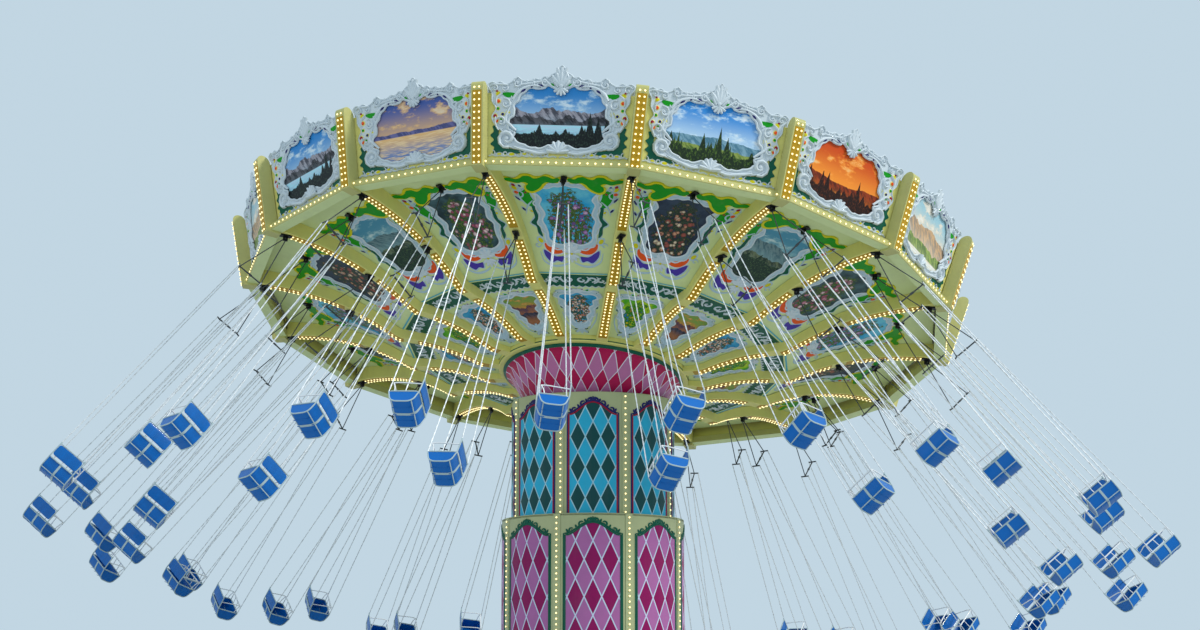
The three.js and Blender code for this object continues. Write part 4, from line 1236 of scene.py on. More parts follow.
def board_scrolls(shape, flip):
    """One side of a board: corner leaf, side leaf, curls and leaf lines."""
    patch(shape, smoothed(flipped(LEAF_CORNER, flip), 5), 0.012, on_board, B_DEEP)
    patch(shape, smoothed(flipped(SIDE_LEAF, flip), 5), 0.006, on_board, B_GREEN, base=RELIEF)
    for curl in BOARD_CURLS:
        board_scroll(shape, flip(1, 0)[0], *curl)
    for width, height, points in BOARD_LINES:
        path = smoothed(flipped(points, flip), 4, False)
        stroke(shape, path, taper(width), height, on_board, B_WHITE, RELIEF)


def board_buttons(shape, flip):
    """One side of a board: the buttons and small leaves on its frame."""
    side = flip(1, 0)[0]
    for k, (x, y) in enumerate(CREST_BUTTONS):
        turn = side * (0.4 - 0.2 * k)
        dome(shape, side * x, y, 0.026, 0.022, on_board, B_WHITE, RELIEF, 1.2, turn)
    for x, y, size, finish in SIDE_BUTTONS:
        dome(shape, side * x, y, size * 1.3, 0.01, on_board, B_CREAM, RELIEF)
        dome(shape, side * x, y, size, 0.022, on_board, finish, RELIEF)
    dome(shape, side * 1.03, 1.24, 0.018, 0.016, on_board, B_CRIMSON, RELIEF, 2.4, side * 0.8)
    for x, y, long, turn in TOP_LEAVES:
        dome(shape, side * x, y, 0.028, 0.016, on_board, B_NAVY, RELIEF + 0.016, long, side * turn)
    dome(shape, side * 0.14, 1.345, 0.018, 0.02, on_board, B_GREEN, RELIEF + 0.014, 2.2, side * 0.8)


def board_foot(shape, flip):
    """One side of a board: the yellow buttons, curls and wavy line along its foot."""
    side = flip(1, 0)[0]
    for x, y, size in FOOT_BUTTONS:
        dome(shape, side * x, y, size * 1.3, 0.014, on_board, B_WHITE, 0.0, 1.9)
        dome(shape, side * x, y, size, 0.022, on_board, B_YELLOW, 0.0, 1.7)
    for k in range(5):
        start = math.pi / 2 * (1 + k % 2 * 2)
        curl = spiral(side * (0.2 + 0.21 * k), 0.232, 0.05, 0.012, start, side * 0.8, 9)
        stroke(shape, curl, taper(0.03), 0.022, on_board, B_WHITE)
    waves = [(side * (0.02 + 0.06 * k), 0.188 + 0.016 * (k % 2)) for k in range(19)]
    stroke(shape, smoothed(waves, 3, False), 0.028, 0.02, on_board, B_WHITE)


def rim_paintings():
    """The five paintings of the rim boards."""
    return [
        scenery("view_meadow", 1.7, "#C4E0F4", "#2488D8", "#F4F8FA",
                [(-0.05, 0.1, 1.3, "#7FA6B8", "#4A7A90"), (-0.25, 0.08, 2.2, "#8FA04E", "#4E6B2A")],
                None, (-0.34, 0.6, "#1C2E1A", "#4E6B2A")),
        scenery("view_tarn", 2.9, "#B9D6E8", "#2B86CE", "#F0F4F6",
                [(0.16, 0.3, 1.1, "#A09CA6", "#4A4A55"), (0.0, 0.2, 1.9, "#5A5A60", "#26282E")],
                (-0.14, "#2F8FAE", "#A6E2EE"), (-0.32, 0.5, "#10181A", "#33463A")),
        scenery("view_dusk", 4.4, "#E9B87A", "#3F5AA0", "#F2D8B4",
                [(0.0, 0.08, 1.1, "#6A6A9C", "#454B7A"), (-0.5, 0.1, 2.8, "#2A2A2E", "#17181C")],
                (-0.1, "#6C86B8", "#F0CFA0")),
        scenery("view_dunes", 5.9, "#FF9A34", "#D24A10", "#FFD08A",
                [(-0.12, 0.1, 1.2, "#9A3A14", "#5A2212"), (-0.34, 0.12, 2.0, "#D0782A", "#6A3216")],
                None, (-0.36, 0.6, "#24100A", "#5A2A14")),
        scenery("view_pastel", 7.3, "#F2E2CA", "#9CC9D6", "#FBF4E8",
                [(0.1, 0.16, 1.6, "#D9AE7E", "#9A8A7A"), (-0.25, 0.1, 2.6, "#A0B45E", "#6A8248")],
                (-0.45, "#B9D4D2", "#F2FAF6")),
    ]


# Shells on a rim board's middle line: height up, size, number of leaves, spread, relief and way
BOARD_SHELLS = ((0.27, 0.18, 7, 2.9, 0.045, 1), (1.3, 0.13, 5, 2.2, 0.036, -1),
                (1.33, 0.22, 5, 1.5, 0.045, 1), (1.44, 0.2, 3, 0.8, 0.036, 1))


def rim_boards():
    """Sixteen relief boards that share one carved mesh, and a painted view in each."""
    shape = Shape()
    board_ground(shape)
    board_frame(shape)
    for flip in (lambda x, y: (x, y), lambda x, y: (-x, y)):
        for draw in (board_scrolls, board_buttons, board_foot):
            draw(shape, flip)
    for y, size, leaves, spread, height, way in BOARD_SHELLS:
        shell(shape, 0.0, y, size, on_board, B_WHITE, leaves, spread, height, RELIEF, way)
    views = rim_paintings()
    outline = grown(smoothed(mirrored(RIM_PICTURE), 6), 0.03)
    make = sharer(shape, BOARD_PAINTS, "white_ornament", 50)
    for i in range(SIDES):
        matrix = board_place(i)
        board = make(f"rim_board_{i + 1:02d}", "canopy", matrix)
        if i == 0:
            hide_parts("rounding_boards")
        picture(f"rim_picture_{i + 1:02d}", outline, on_board, views[RIM_THEMES[i]], matrix, (0, 0.82), 0.8)


RAIL_EASE = 0.012
TOP_STEPS = 12
LAMP_LEVELS = (-0.04, 0.3, 0.6, 0.9, 1.1)
LAMP_SECTION = ((-0.08, -0.001), (-0.074, 0.004), (0.074, 0.004), (0.08, -0.001))


def pilaster_front(height):
    """How far out the leaning front of a pilaster is."""
    return PILASTER_OUT + height * LEAN


def pilaster_outline():
    """A pilaster from the side: its foot, its rounded top and its back, which meets the rail."""
    back = BOARD_RADIUS + 0.002
    half_deep = (PILASTER_OUT - back) / 2
    outline = [(RAIL_IN, PILASTER_FOOT), (pilaster_front(PILASTER_FOOT), PILASTER_FOOT)]
    for k in range(TOP_STEPS + 1):
        angle = math.pi * k / TOP_STEPS
        height = PILASTER_TOP - half_deep + half_deep * math.sin(angle)
        outline.append((pilaster_front(height) - half_deep + half_deep * math.cos(angle), height))
    return [*outline, (back + LEAN * RAIL_HIGH, RAIL_HIGH + 0.001), (RAIL_IN, RAIL_HIGH - 0.001)]


def pilasters():
    """The rail, and sixteen box fins with rounded tops and a yellow lamp face."""
    shape = Shape()
    rail = [(RAIL_IN, RAIL_LOW), (RAIL_OUT - RAIL_EASE, RAIL_LOW), (RAIL_OUT, RAIL_LOW + RAIL_EASE),
            (RAIL_OUT, RAIL_HIGH - RAIL_EASE), (RAIL_OUT - RAIL_EASE, RAIL_HIGH), (RAIL_IN, RAIL_HIGH)]
    lathe(shape, [(r, RIM_RISE + z) for r, z in rail], SIDES, 0, FIRST_RIB)
    shape.finishes[:SIDES] = [2] * SIDES
    outline = pilaster_outline()
    edge = [*outline, outline[0]]
    for i in range(SIDES):
        turn = rib_turn(i)
        for side in (-1, 1):
            shape.add([turn @ Vector((r, side * PILASTER_HALF, RIM_RISE + z)) for r, z in outline],
                      [tuple(range(len(outline)))[::-side]], 0)
        shape.grid([[turn @ Vector((r, x, RIM_RISE + z)) for r, z in edge]
                    for x in (PILASTER_HALF, -PILASTER_HALF)])
        face = []
        for z in LAMP_LEVELS:
            r = pilaster_front(z)
            face.append([turn @ Vector((r + proud, x, RIM_RISE + z)) for x, proud in LAMP_SECTION])
        shape.grid(face, 1)
    finishes = [RIM_YELLOW_SHADED, YELLOW, PALE_CREAM]
    made = piece("rim_pilasters", shape, finishes, "canopy", "yellow_paint", baked=CANOPY)
    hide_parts("corner_pilasters")


CAPITAL_SIDES = 128
CAPITAL_CONE = [(1.05, -0.75), (1.47, -0.095), (1.486, -0.078)]
CAPITAL_CORNICE = [(1.55, -0.05), (1.58, -0.036), (1.594, -0.03), (1.594, -0.0005)]
CAPITAL_LINING = [(1.569, -0.0005), (1.569, -0.035), (1.461, -0.078), (1.025, -0.75)]
# The painted sheet lies just outside the cone; its last two rows bend out below the cornice
DIAMOND_LOW, DIAMOND_HIGH = Vector((1.0508, -0.7516)), Vector((1.4708, -0.0966))
DIAMOND_BENDS = [(Vector((1.487, -0.0795)), 0.1), (Vector((1.551, -0.0515)), -0.15)]
BEAD_SIDES = 96


def capital():
    """The round capital: harlequin cone, dark cornice, its lining and a bead round it."""
    shape = Shape()
    lathe(shape, [*CAPITAL_CONE, *CAPITAL_CORNICE, *CAPITAL_LINING], CAPITAL_SIDES)
    shape.finishes = [1] * (3 * CAPITAL_SIDES) + [0] * (8 * CAPITAL_SIDES)
    turns = angles(CAPITAL_SIDES, True)
    stations = [(DIAMOND_LOW.lerp(DIAMOND_HIGH, share), row) for share, row in DIAMOND_ROWS] + DIAMOND_BENDS
    shape.grid([[around(spot.x, a, spot.y) for a in turns] for spot, _ in stations], 1,
               [[(a / (2 * math.pi), row) for a in turns] for _, row in stations])
    beads = Shape()
    tube(beads, [around(1.592, a, -0.018) for a in angles(BEAD_SIDES)], 0.012, 6, 0, True)
    made = piece("capital", shape, [DEEP_GREEN, CAPITAL_DIAMONDS], "canopy", "crimson_panel", baked=CANOPY)
    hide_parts("capital_cone")
    piece("capital_beads", beads, [DEEP_GREEN], "canopy", "green_paint", baked=CANOPY)


EAR_SIZE, EAR_RISE, EAR_APART = (0.084, 0.014, 0.088), 0.012, 0.0154
YOKE_BASE, YOKE_BASE_RISE = (0.21, 0.1, 0.028), 0.06
PIN_HALF, PIN_RADIUS = 0.034, 0.009
NUT_START, NUT_END, NUT_RADIUS = 0.022, 0.032, 0.017


def yokes():
    """Black fittings that carry the chairs: two ears with a pin, under a base block."""
    shape = Shape()
    for k in range(CHAIRS):
        matrix = chair_matrix(f"swing_{k + 1:02d}")
        pivot, hinge = matrix.translation, matrix.col[1].to_3d()
        across = hinge.cross(CANOPY_UP).normalized()
        turn = Matrix((across, hinge, CANOPY_UP)).transposed()
        for side in (-1, 1):
            block(shape, pivot + CANOPY_UP * EAR_RISE + hinge * side * EAR_APART, EAR_SIZE, 0, turn)
        block(shape, pivot + CANOPY_UP * YOKE_BASE_RISE, YOKE_BASE, 0, turn)
        tube(shape, [pivot - hinge * PIN_HALF, pivot + hinge * PIN_HALF], PIN_RADIUS, 8, 1)
        for side in (-1, 1):
            nut = [pivot + hinge * side * far for far in (NUT_START, NUT_END)]
            tube(shape, nut, NUT_RADIUS, 6, 1)
    piece("chair_yokes", shape, [BLACK, DARK_STEEL], "canopy", "black_fitting")


# Column
DRUM_SIDES = 128
DRUM_EASE = 0.01


def drum_body(shape, radius, wall, low, high):
    """A drum's wall with an eased upper edge."""
    inner = radius - wall
    lathe(shape, [(radius, low), (radius, high - DRUM_EASE), (radius - DRUM_EASE, high), (inner, high),
                  (inner, low)], DRUM_SIDES)


ARCH_SHARE = 0.92


def arch_height(share, rise):
    """The top line of a panel: shoulders, then a curve up to its middle."""
    x = abs(share)
    if x > ARCH_SHARE:
        return 0.0
    return rise * (0.5 + 0.5 * math.cos(math.pi * x / ARCH_SHARE)) ** 0.8


PANEL_COLUMNS, PANEL_ROWS = 32, 8
PANEL_PROUD = 0.003
BORDER_WIDER = 1.055
# Along half an arch, as shares of its width and rise: scrolls with their radius, and leaves
ARCH_SCROLLS = ((0.12, 0.9, 0.045), (0.42, 0.62, 0.05), (0.78, 0.12, 0.045))
ARCH_LEAVES = ((0.27, 0.83), (0.6, 0.38), (0.93, 0.05))


def panel_angle(index):
    """The direction of a panel's middle, or of a strip where the index has a half."""
    return -math.pi / 2 + index * 2 * math.pi / PANELS


def on_drum(radius, middle):
    """A rule for places on a drum: metres round from a direction, height, and proud of the wall."""
    return lambda x, z, proud: around(radius + proud, middle + x / radius, z)


def panel(shape, onto, low, shoulder, rise, half_width):
    """A painted arched panel with two borders, and small scrolls and leaves along the arch."""
    xs = [half_width * (2 * k / PANEL_COLUMNS - 1) for k in range(PANEL_COLUMNS + 1)]
    tops = [shoulder + arch_height(x / half_width, rise) for x in xs]
    rows, places = [], []
    for part in range(PANEL_ROWS + 1):
        share = part / PANEL_ROWS
        rows.append([onto(x, low + (top - low) * share, PANEL_PROUD) for x, top in zip(xs, tops)])
        places.append([(x, low + (top - low) * share - low) for x, top in zip(xs, tops)])
    shape.grid(rows, 0, places)
    climb = [(xs[0], low + (shoulder - low) * k / PANEL_ROWS) for k in range(PANEL_ROWS + 1)]
    fall = [(xs[-1], shoulder + (low - shoulder) * k / PANEL_ROWS) for k in range(PANEL_ROWS + 1)]
    path = [*climb, *list(zip(xs, tops))[1:-1], *fall]
    stroke(shape, path, 0.028, 0.012, onto, 1, PANEL_PROUD)
    outer = [(x * BORDER_WIDER, z + (0.026 if z > shoulder - 0.01 else 0)) for x, z in path]
    stroke(shape, outer, 0.03, 0.01, onto, 2, 0.002)
    for side in (-1, 1):
        for x, z, big in ARCH_SCROLLS:
            curl = spiral(side * x * half_width, shoulder + rise * z + 0.05, big, 0.012,
                          math.pi / 2 + side * 0.8, -side * 1.1, 12)
            stroke(shape, curl, taper(0.038), 0.014, onto, 2, 0.002)
        for x, z in ARCH_LEAVES:
            dome(shape, side * half_width * x, shoulder + rise * z + 0.06, 0.02, 0.014, onto, 2, 0.002, 1.9,
                 math.pi / 2 - side * 0.5)
    shell(shape, 0.0, shoulder + rise + 0.03, 0.07, onto, 2, 5, 2.4, 0.012, 0.002)


def column_panels(name, radius, low, shoulder, rise, half_width, body, slot, finishes):
    """Eight painted panels round a drum."""
    shape = Shape()
    for p in range(PANELS):
        panel(shape, on_drum(radius, panel_angle(p)), low, shoulder, rise, half_width)
    piece(name, shape, finishes, body, slot)


def column_strips(name, radius, half, low, high, body):
    """Eight cream strips for the bulbs, between the panels."""
    shape = Shape()
    side, face, ease = STRIP_RISE - 0.004, STRIP_RISE - 0.0005, 0.004
    section = [(-half, -0.002), (-half, side), (-half + ease, face),
               (half - ease, face), (half, side), (half, -0.002)]
    for p in range(PANELS):
        onto = on_drum(radius, panel_angle(p + 0.5))
        rows = [[onto(x, z, proud) for x, proud in section] for z in (low, high)]
        shape.grid(rows, 0, closed=True)
        shape.caps(rows)
    piece(name, shape, [COLUMN_CREAM_SHADED], body, "cream_paint")


COLLAR_IN = 1.487
BULKHEAD_LOW, BULKHEAD_TOP = 6.32, 6.38
BULKHEAD_RADIUS, RAM_RADIUS, RAM_LOW = 1.43, 0.1995, 3.3
CORE = 0.001
EAR_HALF, EAR_ROUND, EAR_BORE = 0.31, 0.115, 0.074
EAR_PLACE, EAR_SHEET = 0.3, 0.06


def lower_column():
    """The lower drum with its top collar and foot ring, its panels and strips."""
    shape = Shape()
    drum_body(shape, LOWER_RADIUS, 0.04, LOWER_LOW, LOWER_TOP)
    square_ring(shape, COLLAR_IN, LOWER_RADIUS, LOWER_TOP - 0.04, LOWER_TOP - 0.001, DRUM_SIDES)
    lathe(shape, [(1.59, 0.301), (1.608, 0.301), (1.608, 0.42), (1.6, 0.45), (1.59, 0.45)], DRUM_SIDES)
    drum = piece("lower_column", shape, [COLUMN_CREAM_SHADED], "base", "cream_paint")
    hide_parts("lower_drum")
    column_panels("lower_panels", LOWER_RADIUS, 0.6, 4.48, 0.21, 0.48, "base", "lilac_panel",
                  [LILAC_DIAMONDS, DEEP_GREEN, DEEP_GREEN])
    column_strips("lower_panels_strips", LOWER_RADIUS, 0.065, LOWER_LOW + 0.15, LOWER_TOP - 0.012, "base")


def lift_ram():
    """The upper drum's bulkhead and the ram under it."""
    shape = Shape()
    square_ring(shape, CORE, BULKHEAD_RADIUS, BULKHEAD_LOW, BULKHEAD_TOP, 64)
    square_ring(shape, CORE, RAM_RADIUS, RAM_LOW, BULKHEAD_LOW + 0.01, 32)
    piece("lift_ram", shape, [DARK_STEEL], "mast", "dark_steel")


def tilt_ears():
    """The two bearing ears on the bulkhead, each with its bore."""
    shape = Shape()
    side_way = Vector((-TILT_AXIS.y, TILT_AXIS.x, 0))
    foot = BULKHEAD_TOP - PIVOT.z
    outline = [(-EAR_HALF, foot), (EAR_HALF, foot)]
    outline += [(EAR_ROUND * math.cos(a), EAR_ROUND * math.sin(a)) for a in angles(24)[:13]]
    hole = [(EAR_BORE * math.cos(a), EAR_BORE * math.sin(a)) for a in angles(24)]
    for side in (-1, 1):

        def onto(x, z, proud, side=side):
            along = TILT_AXIS * (side * (EAR_PLACE + proud))
            return PIVOT + side_way * (side * x) + Vector((0, 0, z)) + along

        patch(shape, outline, EAR_SHEET, onto, 0, hole, back=True)
    piece("tilt_ears", shape, [DARK_STEEL], "mast", "dark_steel")


def upper_column():
    """The upper drum with its ram and ears, its panels and strips."""
    shape = Shape()
    drum_body(shape, UPPER_RADIUS, 0.012, UPPER_LOW, UPPER_TOP)
    drum = piece("upper_column", shape, [COLUMN_CREAM_SHADED], "mast", "cream_paint")
    lift_ram()
    tilt_ears()
    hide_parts("upper_drum")
    column_panels("upper_panels", UPPER_RADIUS, 4.86, 6.56, 0.21, 0.42, "mast", "teal_panel",
                  [TEAL_DIAMONDS, CRIMSON, NAVY])
    column_strips("upper_panels_strips", UPPER_RADIUS, 0.055, UPPER_LOW + 0.02, UPPER_TOP - 0.02, "mast")


# Chairs
def chair_matrix(name):
    """A chair's frame from its hinge: the pivot, Y along the hinge, and Z up the chains."""
    joint = JOINTS[name]
    hinge = Vector(joint["axis"]).normalized()
    swing = LEAD_SWING * SWING_RATIOS.get(name, 1.0)
    up = Matrix.Rotation(swing, 3, hinge) @ CANOPY_UP
    across = hinge.cross(up).normalized()
    turn = Matrix((across, up.cross(across), up)).transposed().to_4x4()
    return Matrix.Translation(Vector(joint["pos_m"])) @ turn


SEAT_ROUND = 0.105
SEAT_SHEET = 0.006


def tub_profile(inset=0.0):
    """The bent sheet of the seat in the Y and Z plane, front rim to rear rim."""
    low = SEAT_BOTTOM + inset
    corners = [(0, SEAT_FRONT - inset, SEAT_RIM), (0, SEAT_FRONT - SEAT_TAPER - inset, low),
               (0, SEAT_BACK + SEAT_TAPER + inset, low), (0, SEAT_BACK + inset, SEAT_RIM)]
    return rounded(corners, SEAT_ROUND, 6)


# Rows of the backrest: height, how far it bulges, and how much narrower each side is
BACKREST_ROWS = ((-5.49, 0.0, 0.035), (-5.48, 0.003, 0.01), (-5.455, 0.005, 0.0), (-5.39, 0.006, 0.0),
                 (-5.327, 0.005, 0.0), (-5.302, 0.003, 0.01), (-5.292, 0.0, 0.035))
BACKREST_PLACE, BACKREST_RAKE, BACKREST_BEND = -0.224, 0.055, 0.008


def backrest(shape):
    """The separate blue backrest, bent and raked."""
    rows = []
    for z, dip, trim in BACKREST_ROWS:
        line = []
        for s in (-1, -0.7, 0, 0.7, 1):
            bulge = dip + BACKREST_BEND * (1 - s * s)
            y = BACKREST_PLACE - bulge - BACKREST_RAKE * (z - BACKREST_ROWS[0][0])
            line.append(Vector(((CHAIR_HALF - 0.012 - trim) * s, y, z)))
        rows.append([*line, *[p + Vector((0, SEAT_SHEET, 0)) for p in line[::-1]]])
    shape.grid(rows, 0, closed=True)
    shape.caps(rows)


def chair_seat():
    """The blue tub, the backrest, and three slats under the seat."""
    shape = Shape()
    outer, inner = tub_profile(0.0), tub_profile(SEAT_SHEET)
    half = CHAIR_HALF - 0.003
    xs = [half * s for s in (-1, -0.5, 0, 0.5, 1)]
    for profile, way in ((outer, 1), (inner, -1)):
        shape.grid([[Vector((x, p.y, p.z)) for x in xs[::way]] for p in profile], 0)
    for end, way in ((0, 1), (-1, -1)):
        edges = [profile[end].y for profile in (inner, outer)[::way]]
        shape.grid([[Vector((x, y, SEAT_RIM)) for x in xs] for y in edges])
    for side in (-1, 1):
        patch(shape, [(side * p.y, p.z) for p in outer], 0.004,
              lambda y, z, proud, side=side: Vector((side * (half + proud - 0.002), side * y, z)), back=True)
    backrest(shape)
    for k in (-1, 0, 1):
        block(shape, (k * 0.12, 0.0, SEAT_BOTTOM - 0.001), (0.012, 0.3, 0.003), 0)
    return shape


# Radii of a chair's tubes
THICK_TUBE, POST_TUBE, SIDE_TUBE, THIN_TUBE, STRUT_TUBE = 0.012, 0.011, 0.01, 0.009, 0.007
LAP_PLACE, LAP_LEVEL = 0.185, -5.362
ARM_BACK, ARM_TOP, LAP_FOOT = -5.38, -5.352, -5.44
STRUT_PLACE = 0.08
BAND_HALF = 0.018


def chair_frame():
    """Light tubes round the tub, the rear posts, the side arms and the lap bar."""
    shape = Shape()
    x = CHAIR_HALF
    rim = [(x, SEAT_FRONT, SEAT_RIM), (-x, SEAT_FRONT, SEAT_RIM), (-x, SEAT_BACK, SEAT_RIM),
           (x, SEAT_BACK, SEAT_RIM)]
    tube(shape, rounded(rim, 0.06, 4, True), THICK_TUBE, 7, 0, True)
    profile = tub_profile()
    for corner in (profile[4], profile[-5]):
        tube(shape, [(-x, corner.y, corner.z), (x, corner.y, corner.z)], THIN_TUBE, 6, 0)
    for edge, strut in ((-x, -STRUT_PLACE), (x, STRUT_PLACE)):
        lap = (edge, LAP_PLACE, LAP_LEVEL)
        tube(shape, [(edge, p.y, p.z) for p in profile], SIDE_TUBE, 6, 0)
        post = [(edge, SEAT_BACK, SEAT_RIM), (edge, SEAT_BACK - BACK_RAKE, BACK_TOP)]
        tube(shape, post, POST_TUBE, 7, 0)
        arm = [(edge, SEAT_BACK - 0.01, ARM_BACK), (edge, 0.1, ARM_TOP), lap]
        tube(shape, rounded(arm, 0.05, 3), THIN_TUBE, 7, 1)
        brace = [(edge, 0.135, SEAT_RIM), (edge, 0.15, LAP_FOOT), lap]
        tube(shape, rounded(brace, 0.04, 3), THIN_TUBE, 7, 1)
        strut_path = [(strut, SEAT_FRONT, SEAT_RIM), (strut, 0.2, LAP_FOOT), (strut, 0.186, LAP_LEVEL)]
        tube(shape, strut_path, STRUT_TUBE, 6, 1)
    tube(shape, [(-x, 0.184, LAP_LEVEL), (x, 0.184, LAP_LEVEL)], THICK_TUBE, 8, 1)
    top = (SEAT_BACK - BACK_RAKE, BACK_TOP - 0.03)
    tube(shape, [(-x, *top), (x, *top)], SIDE_TUBE, 7, 0)
    band = []
    half = BAND_HALF
    for p, q in zip(profile, tub_profile(-SEAT_SHEET)):
        band.append([(-half, p.y, p.z), (-half, q.y, q.z), (half, q.y, q.z), (half, p.y, p.z)])
    shape.grid(band, 0)
    return shape


CROSS_PIN = CROSS_HALF - 0.008


def chair_hanger():
    """The lug, two rods, the spreader bar with its cross pieces, and the shackle pins at their ends."""
    shape = Shape()
    half = SPREADER_HALF - 0.006
    level = SPREADER - 0.013
    block(shape, (0, 0, -0.008), (0.048, 0.014, 0.06), 0)
    for side in (-1, 1):
        tube(shape, [(side * 0.012, 0, 0.012), (side * half, 0, SPREADER - 0.01)], 0.009, 7, 0)
        block(shape, (side * CHAIR_HALF, 0, level), (0.014, 2 * CROSS_HALF, 0.024), 0)
        for y in (-CROSS_PIN, CROSS_PIN):
            tube(shape, [(side * CHAIR_HALF + x, y, SPREADER - 0.016) for x in (-0.009, 0.009)], 0.006, 6, 1)
    tube(shape, [(-half, 0, level), (half, 0, level)], 0.013, 8, 0)
    block(shape, (0, 0, level), (0.06, 0.03, 0.032), 0)
    return shape


BOX_FACES = [(0, 1, 3, 2), (4, 6, 7, 5), (0, 4, 5, 1), (2, 3, 7, 6), (0, 2, 6, 4), (1, 5, 7, 3)]


def chain(shape, start, end):
    """A taut chain of long links, each turned a quarter against the last."""
    start, end = Vector(start), Vector(end)
    run = end - start
    count = round(run.length / LINK_PITCH)
    pitch = run.length / count
    half = Vector((LINK_WIDE / 2, LINK_THIN / 2, pitch / 2 + LINK_LAP))
    ahead = run.normalized()
    side = ahead.orthogonal().normalized()
    other = ahead.cross(side)
    for i in range(count):
        middle = start + ahead * pitch * (i + 0.5)
        wide, thin = (side, other) if i % 2 else (other, -side)
        turn = Matrix((wide, thin, ahead)).transposed()
        shape.add([turn @ Vector((sx * half.x, sy * half.y, sz * half.z)) + middle
                   for sx in (-1, 1) for sy in (-1, 1) for sz in (-1, 1)], BOX_FACES)


def chair_chains():
    """The four chains of a chair."""
    shape = Shape()
    for x in (-CHAIR_HALF, CHAIR_HALF):
        chain(shape, (x, CROSS_PIN, SPREADER - 0.02), (x, SEAT_FRONT - 0.004, SEAT_RIM + 0.004))
        chain(shape, (x, -CROSS_PIN, SPREADER - 0.02), (x, SEAT_BACK - BACK_RAKE + 0.004, BACK_TOP + 0.002))
    return shape


def chairs():
    """Forty-eight chairs that share four meshes: seat, frame, hanger and chains."""
    kinds = (("seat", chair_seat(), [SEAT_BLUE], "chair_blue"),
             ("frame", chair_frame(), [FRAME_GREY, LAP_WHITE], "frame_grey"),
             ("hanger", chair_hanger(), [HANGER_GREY, CHAIN_STEEL], "dark_steel"),
             ("chains", chair_chains(), [CHAIN_STEEL], "chain_steel"))
    for kind, shape, finishes, slot in kinds:
        make = sharer(shape, finishes, slot)
        for k in range(CHAIRS):
            number = f"{k + 1:02d}"
            made = make(f"chair_{kind}_{number}", f"seat_{number}", chair_matrix(f"swing_{number}"))
            if kind == "seat":
                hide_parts(f"chair_{number}")


# Bulbs
BULB_SIDES = 6
# Rings of a bulb, as shares of its radius: radius and height; the first ring is the collar's foot
BULB_RINGS = ((1.25, 0.0), (1.05, 0.4), (0.94, 0.85), (0.5, 1.25))
BULB_TIP = 1.38


def bulb_template():
    """A low dome on a short collar, round Z."""
    points = []
    for radius, height in BULB_RINGS:
        points += [(radius * math.cos(a), radius * math.sin(a), height) for a in angles(BULB_SIDES)]
    points.append((0, 0, BULB_TIP))
    faces, finishes = [], []
    for ring in range(len(BULB_RINGS)):
        for k in range(BULB_SIDES):
            a, b = ring * BULB_SIDES + k, ring * BULB_SIDES + (k + 1) % BULB_SIDES
            last = ring == len(BULB_RINGS) - 1
            faces.append((a, b, len(points) - 1) if last else (a, b, b + BULB_SIDES, a + BULB_SIDES))
            finishes.append(1 if ring == 0 else 0)
    return np.array(points) * BULB_RADIUS, faces, finishes


def bulbs(name, spots, body, baked=None):
    """Joins one bulb at each spot, a place and the direction that it faces, into one piece."""
    points, faces, finishes = bulb_template()
    shape = Shape()
    for spot, facing in spots:
        turn = Vector(facing).to_track_quat("Z", "Y").to_matrix()
        shape.add(points @ np.array(turn).T + np.array(spot), faces)
    shape.finishes = finishes * len(spots)
    shape.places = [(0.0, 0.0)] * len(shape.points)
    piece(name, shape, [LAMP, SOCKET], body, "bulb_glass", baked=baked)


def rib_bulbs():
    """Two rows of bulbs under each rib, as closely spaced on its slopes as on its flats."""
    spots = []
    for outer, inner in RIB_BULB_RUNS:
        r = outer
        while r > inner:
            slope = (rib_low(r + 0.01) - rib_low(r - 0.01)) / 0.02
            facing = Vector((slope, 0, -1)).normalized()
            for side in (-1, 1):
                place = Vector((r, side * ROW_HALF, rib_low(r) - 0.005))
                for i in range(SIDES):
                    turn = rib_turn(i)
                    spots.append((turn @ place, turn.to_3x3() @ facing))
            r -= RIB_BULB_PITCH / math.hypot(1, slope)
    bulbs("rib_bulbs", spots, "canopy", CANOPY)


PILASTER_BULBS = 13
PILASTER_BULB_FOOT, PILASTER_BULB_PITCH = -0.02, 0.097


def rim_bulbs():
    """A row of bulbs along the rail, and two rows up each pilaster."""
    spots = []
    chord = 2 * RAIL_OUT * math.sin(HALF_SECTOR)
    apothem = RAIL_OUT * math.cos(HALF_SECTOR)
    count = int((chord - 0.14) / RAIL_BULB_PITCH)
    for i in range(SIDES):
        turn = rib_turn(i + 0.5)
        for k in range(count + 1):
            x = (k - count / 2) * RAIL_BULB_PITCH
            place = Vector((apothem, x, RIM_RISE + 0.035))
            spots.append((turn @ place, turn.to_3x3() @ Vector((1, 0, -0.2))))
        turn = rib_turn(i)
        facing = turn.to_3x3() @ Vector((1, 0, -LEAN)).normalized()
        for k in range(PILASTER_BULBS):
            z = PILASTER_BULB_FOOT + PILASTER_BULB_PITCH * k
            for x in (-0.04, 0.04):
                spots.append((turn @ Vector((pilaster_front(z) + 0.002, x, RIM_RISE + z)), facing))
    bulbs("rim_bulbs", spots, "canopy", CANOPY)


# Bulbs on the column: name, radius, lowest and highest level, pitch and body
COLUMN_ROWS = (("lower_bulbs", LOWER_RADIUS, 0.6, 4.78, 0.095, "base"),
               ("upper_bulbs", UPPER_RADIUS, 4.45, 6.88, 0.105, "mast"))


def column_bulbs():
    """A row of bulbs up each cream strip of the column."""
    for name, radius, low, high, pitch, body in COLUMN_ROWS:
        spots = []
        for p in range(PANELS):
            way = around(1.0, panel_angle(p + 0.5))
            for k in range(int((high - low) / pitch) + 1):
                spots.append((way * (radius + STRIP_RISE - 0.001) + Vector((0, 0, high - k * pitch)), way))
        bulbs(name, spots, body)


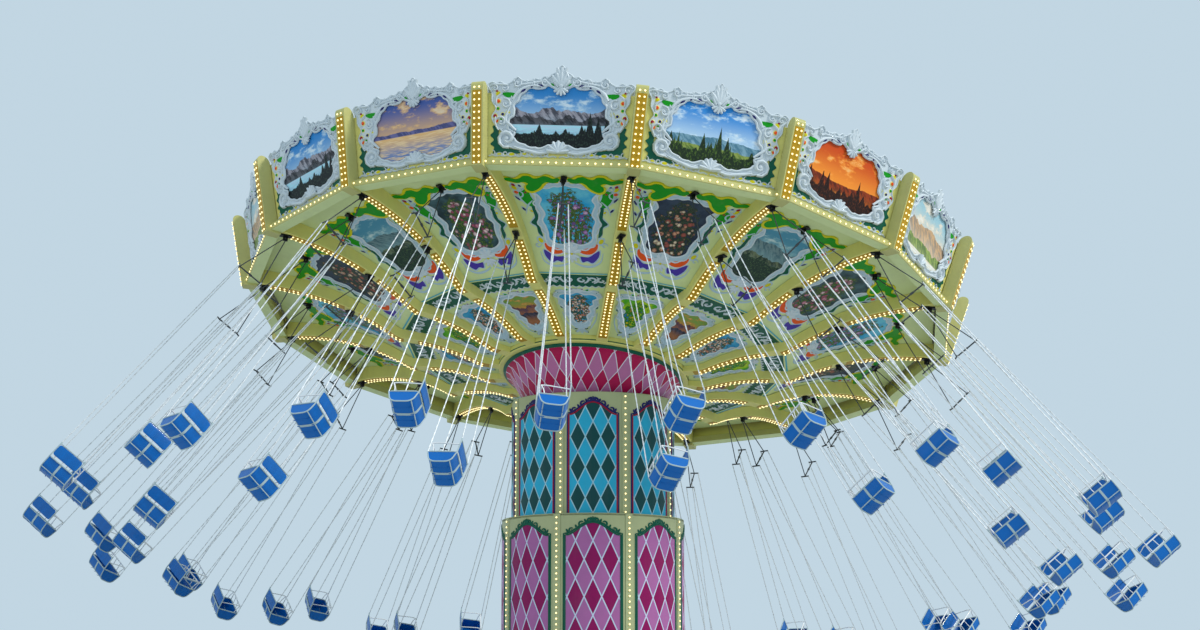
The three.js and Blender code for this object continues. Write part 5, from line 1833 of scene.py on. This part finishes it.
# The nodes that keep their own solid, with a finish
def finish_nodes():
    """Paints the solids that no piece replaces."""
    for name, finish in (("base_plinth", COLUMN_CREAM_SHADED), ("lift_cylinder", DARK_STEEL),
                         ("tilt_turntable", DARK_STEEL), ("canopy_roof", ROOF), ("roof_cap", CREAM)):
        mesh = frame["nodes"][name].data
        mesh.materials.clear()
        mesh.materials.append(finish)


BATTEN_OUT, BATTEN_IN = (6.1, 0, RIM_RISE + 0.425), (0.6, 0, 1.975)
BRACE_FOOT, BRACE_TOP = (5.75, RIM_RISE + 0.46), (6.21, RIM_RISE + 1.02)
BRACE_HALF = 0.6


def roof_battens():
    """A batten along each corner of the roof, and the braces behind the rim boards."""
    shape = Shape()
    for i in range(SIDES):
        corner, middle = rib_turn(i), rib_turn(i + 0.5)
        tube(shape, [corner @ Vector(end) for end in (BATTEN_OUT, BATTEN_IN)], 0.022, 6, 0)
        for x in (-BRACE_HALF, BRACE_HALF):
            tube(shape, [middle @ Vector((r, x, z)) for r, z in (BRACE_FOOT, BRACE_TOP)], 0.016, 6, 1)
    piece("roof_battens", shape, [ROOF, CREAM], "canopy", "roof_sheet", baked=CANOPY)


# Stage
FLOOR_HALF = 90
SKY_COLOUR, SKY_STRENGTH = "#D6ECFA", 0.8
LIGHT_COLOUR = (1.0, 0.97, 0.92)
# Lights: name, power, spread in degrees, and turn in degrees
LIGHTS = (("key", 2.2, 12, (50, 0, 72)), ("fill", 0.3, 60, (66, 0, -50)))


def stage():
    """The pale floor, the sky and two soft suns."""
    floor = bpy.data.meshes.new("floor")
    corners = [(x * FLOOR_HALF, y * FLOOR_HALF, 0) for x, y in ((-1, -1), (1, -1), (1, 1), (-1, 1))]
    floor.from_pydata(corners, [], [(0, 1, 2, 3)])
    floor.materials.append(Nodes("pale_floor").finish(colour("#BCBFBE"), 0.8))
    ground = linked("floor", floor)
    world = bpy.data.worlds.new("studio")
    world.use_nodes = True
    sky = world.node_tree.nodes["Background"]
    sky.inputs["Color"].default_value = colour(SKY_COLOUR)
    sky.inputs["Strength"].default_value = SKY_STRENGTH
    bpy.context.scene.world = world
    bpy.context.scene.view_settings.view_transform = "Standard"
    for name, power, spread, turn in LIGHTS:
        light = bpy.data.lights.new(name, "SUN")
        light.energy = power
        light.angle = math.radians(spread)
        light.color = LIGHT_COLOUR
        linked(name, light).rotation_euler = [math.radians(a) for a in turn]


def camera():
    """The camera, from the values at the top."""
    data = bpy.data.cameras.new("camera")
    data.lens = LENS
    data.sensor_width = SENSOR
    data.clip_end = FARTHEST
    obj = linked("camera", data)
    obj.location = CAMERA_PLACE
    obj.rotation_euler = (math.radians(90 + CAMERA_RISE), 0, math.radians(CAMERA_TURN))
    bpy.context.scene.camera = obj


camera()
stage()
finish_nodes()
ribs()
hub()
ceiling()
ceiling_ornament()
ceiling_pictures()
rim_boards()
pilasters()
capital()
yokes()
lower_column()
upper_column()
chairs()
rib_bulbs()
rim_bulbs()
column_bulbs()
roof_battens()

bpy.context.view_layer.update()
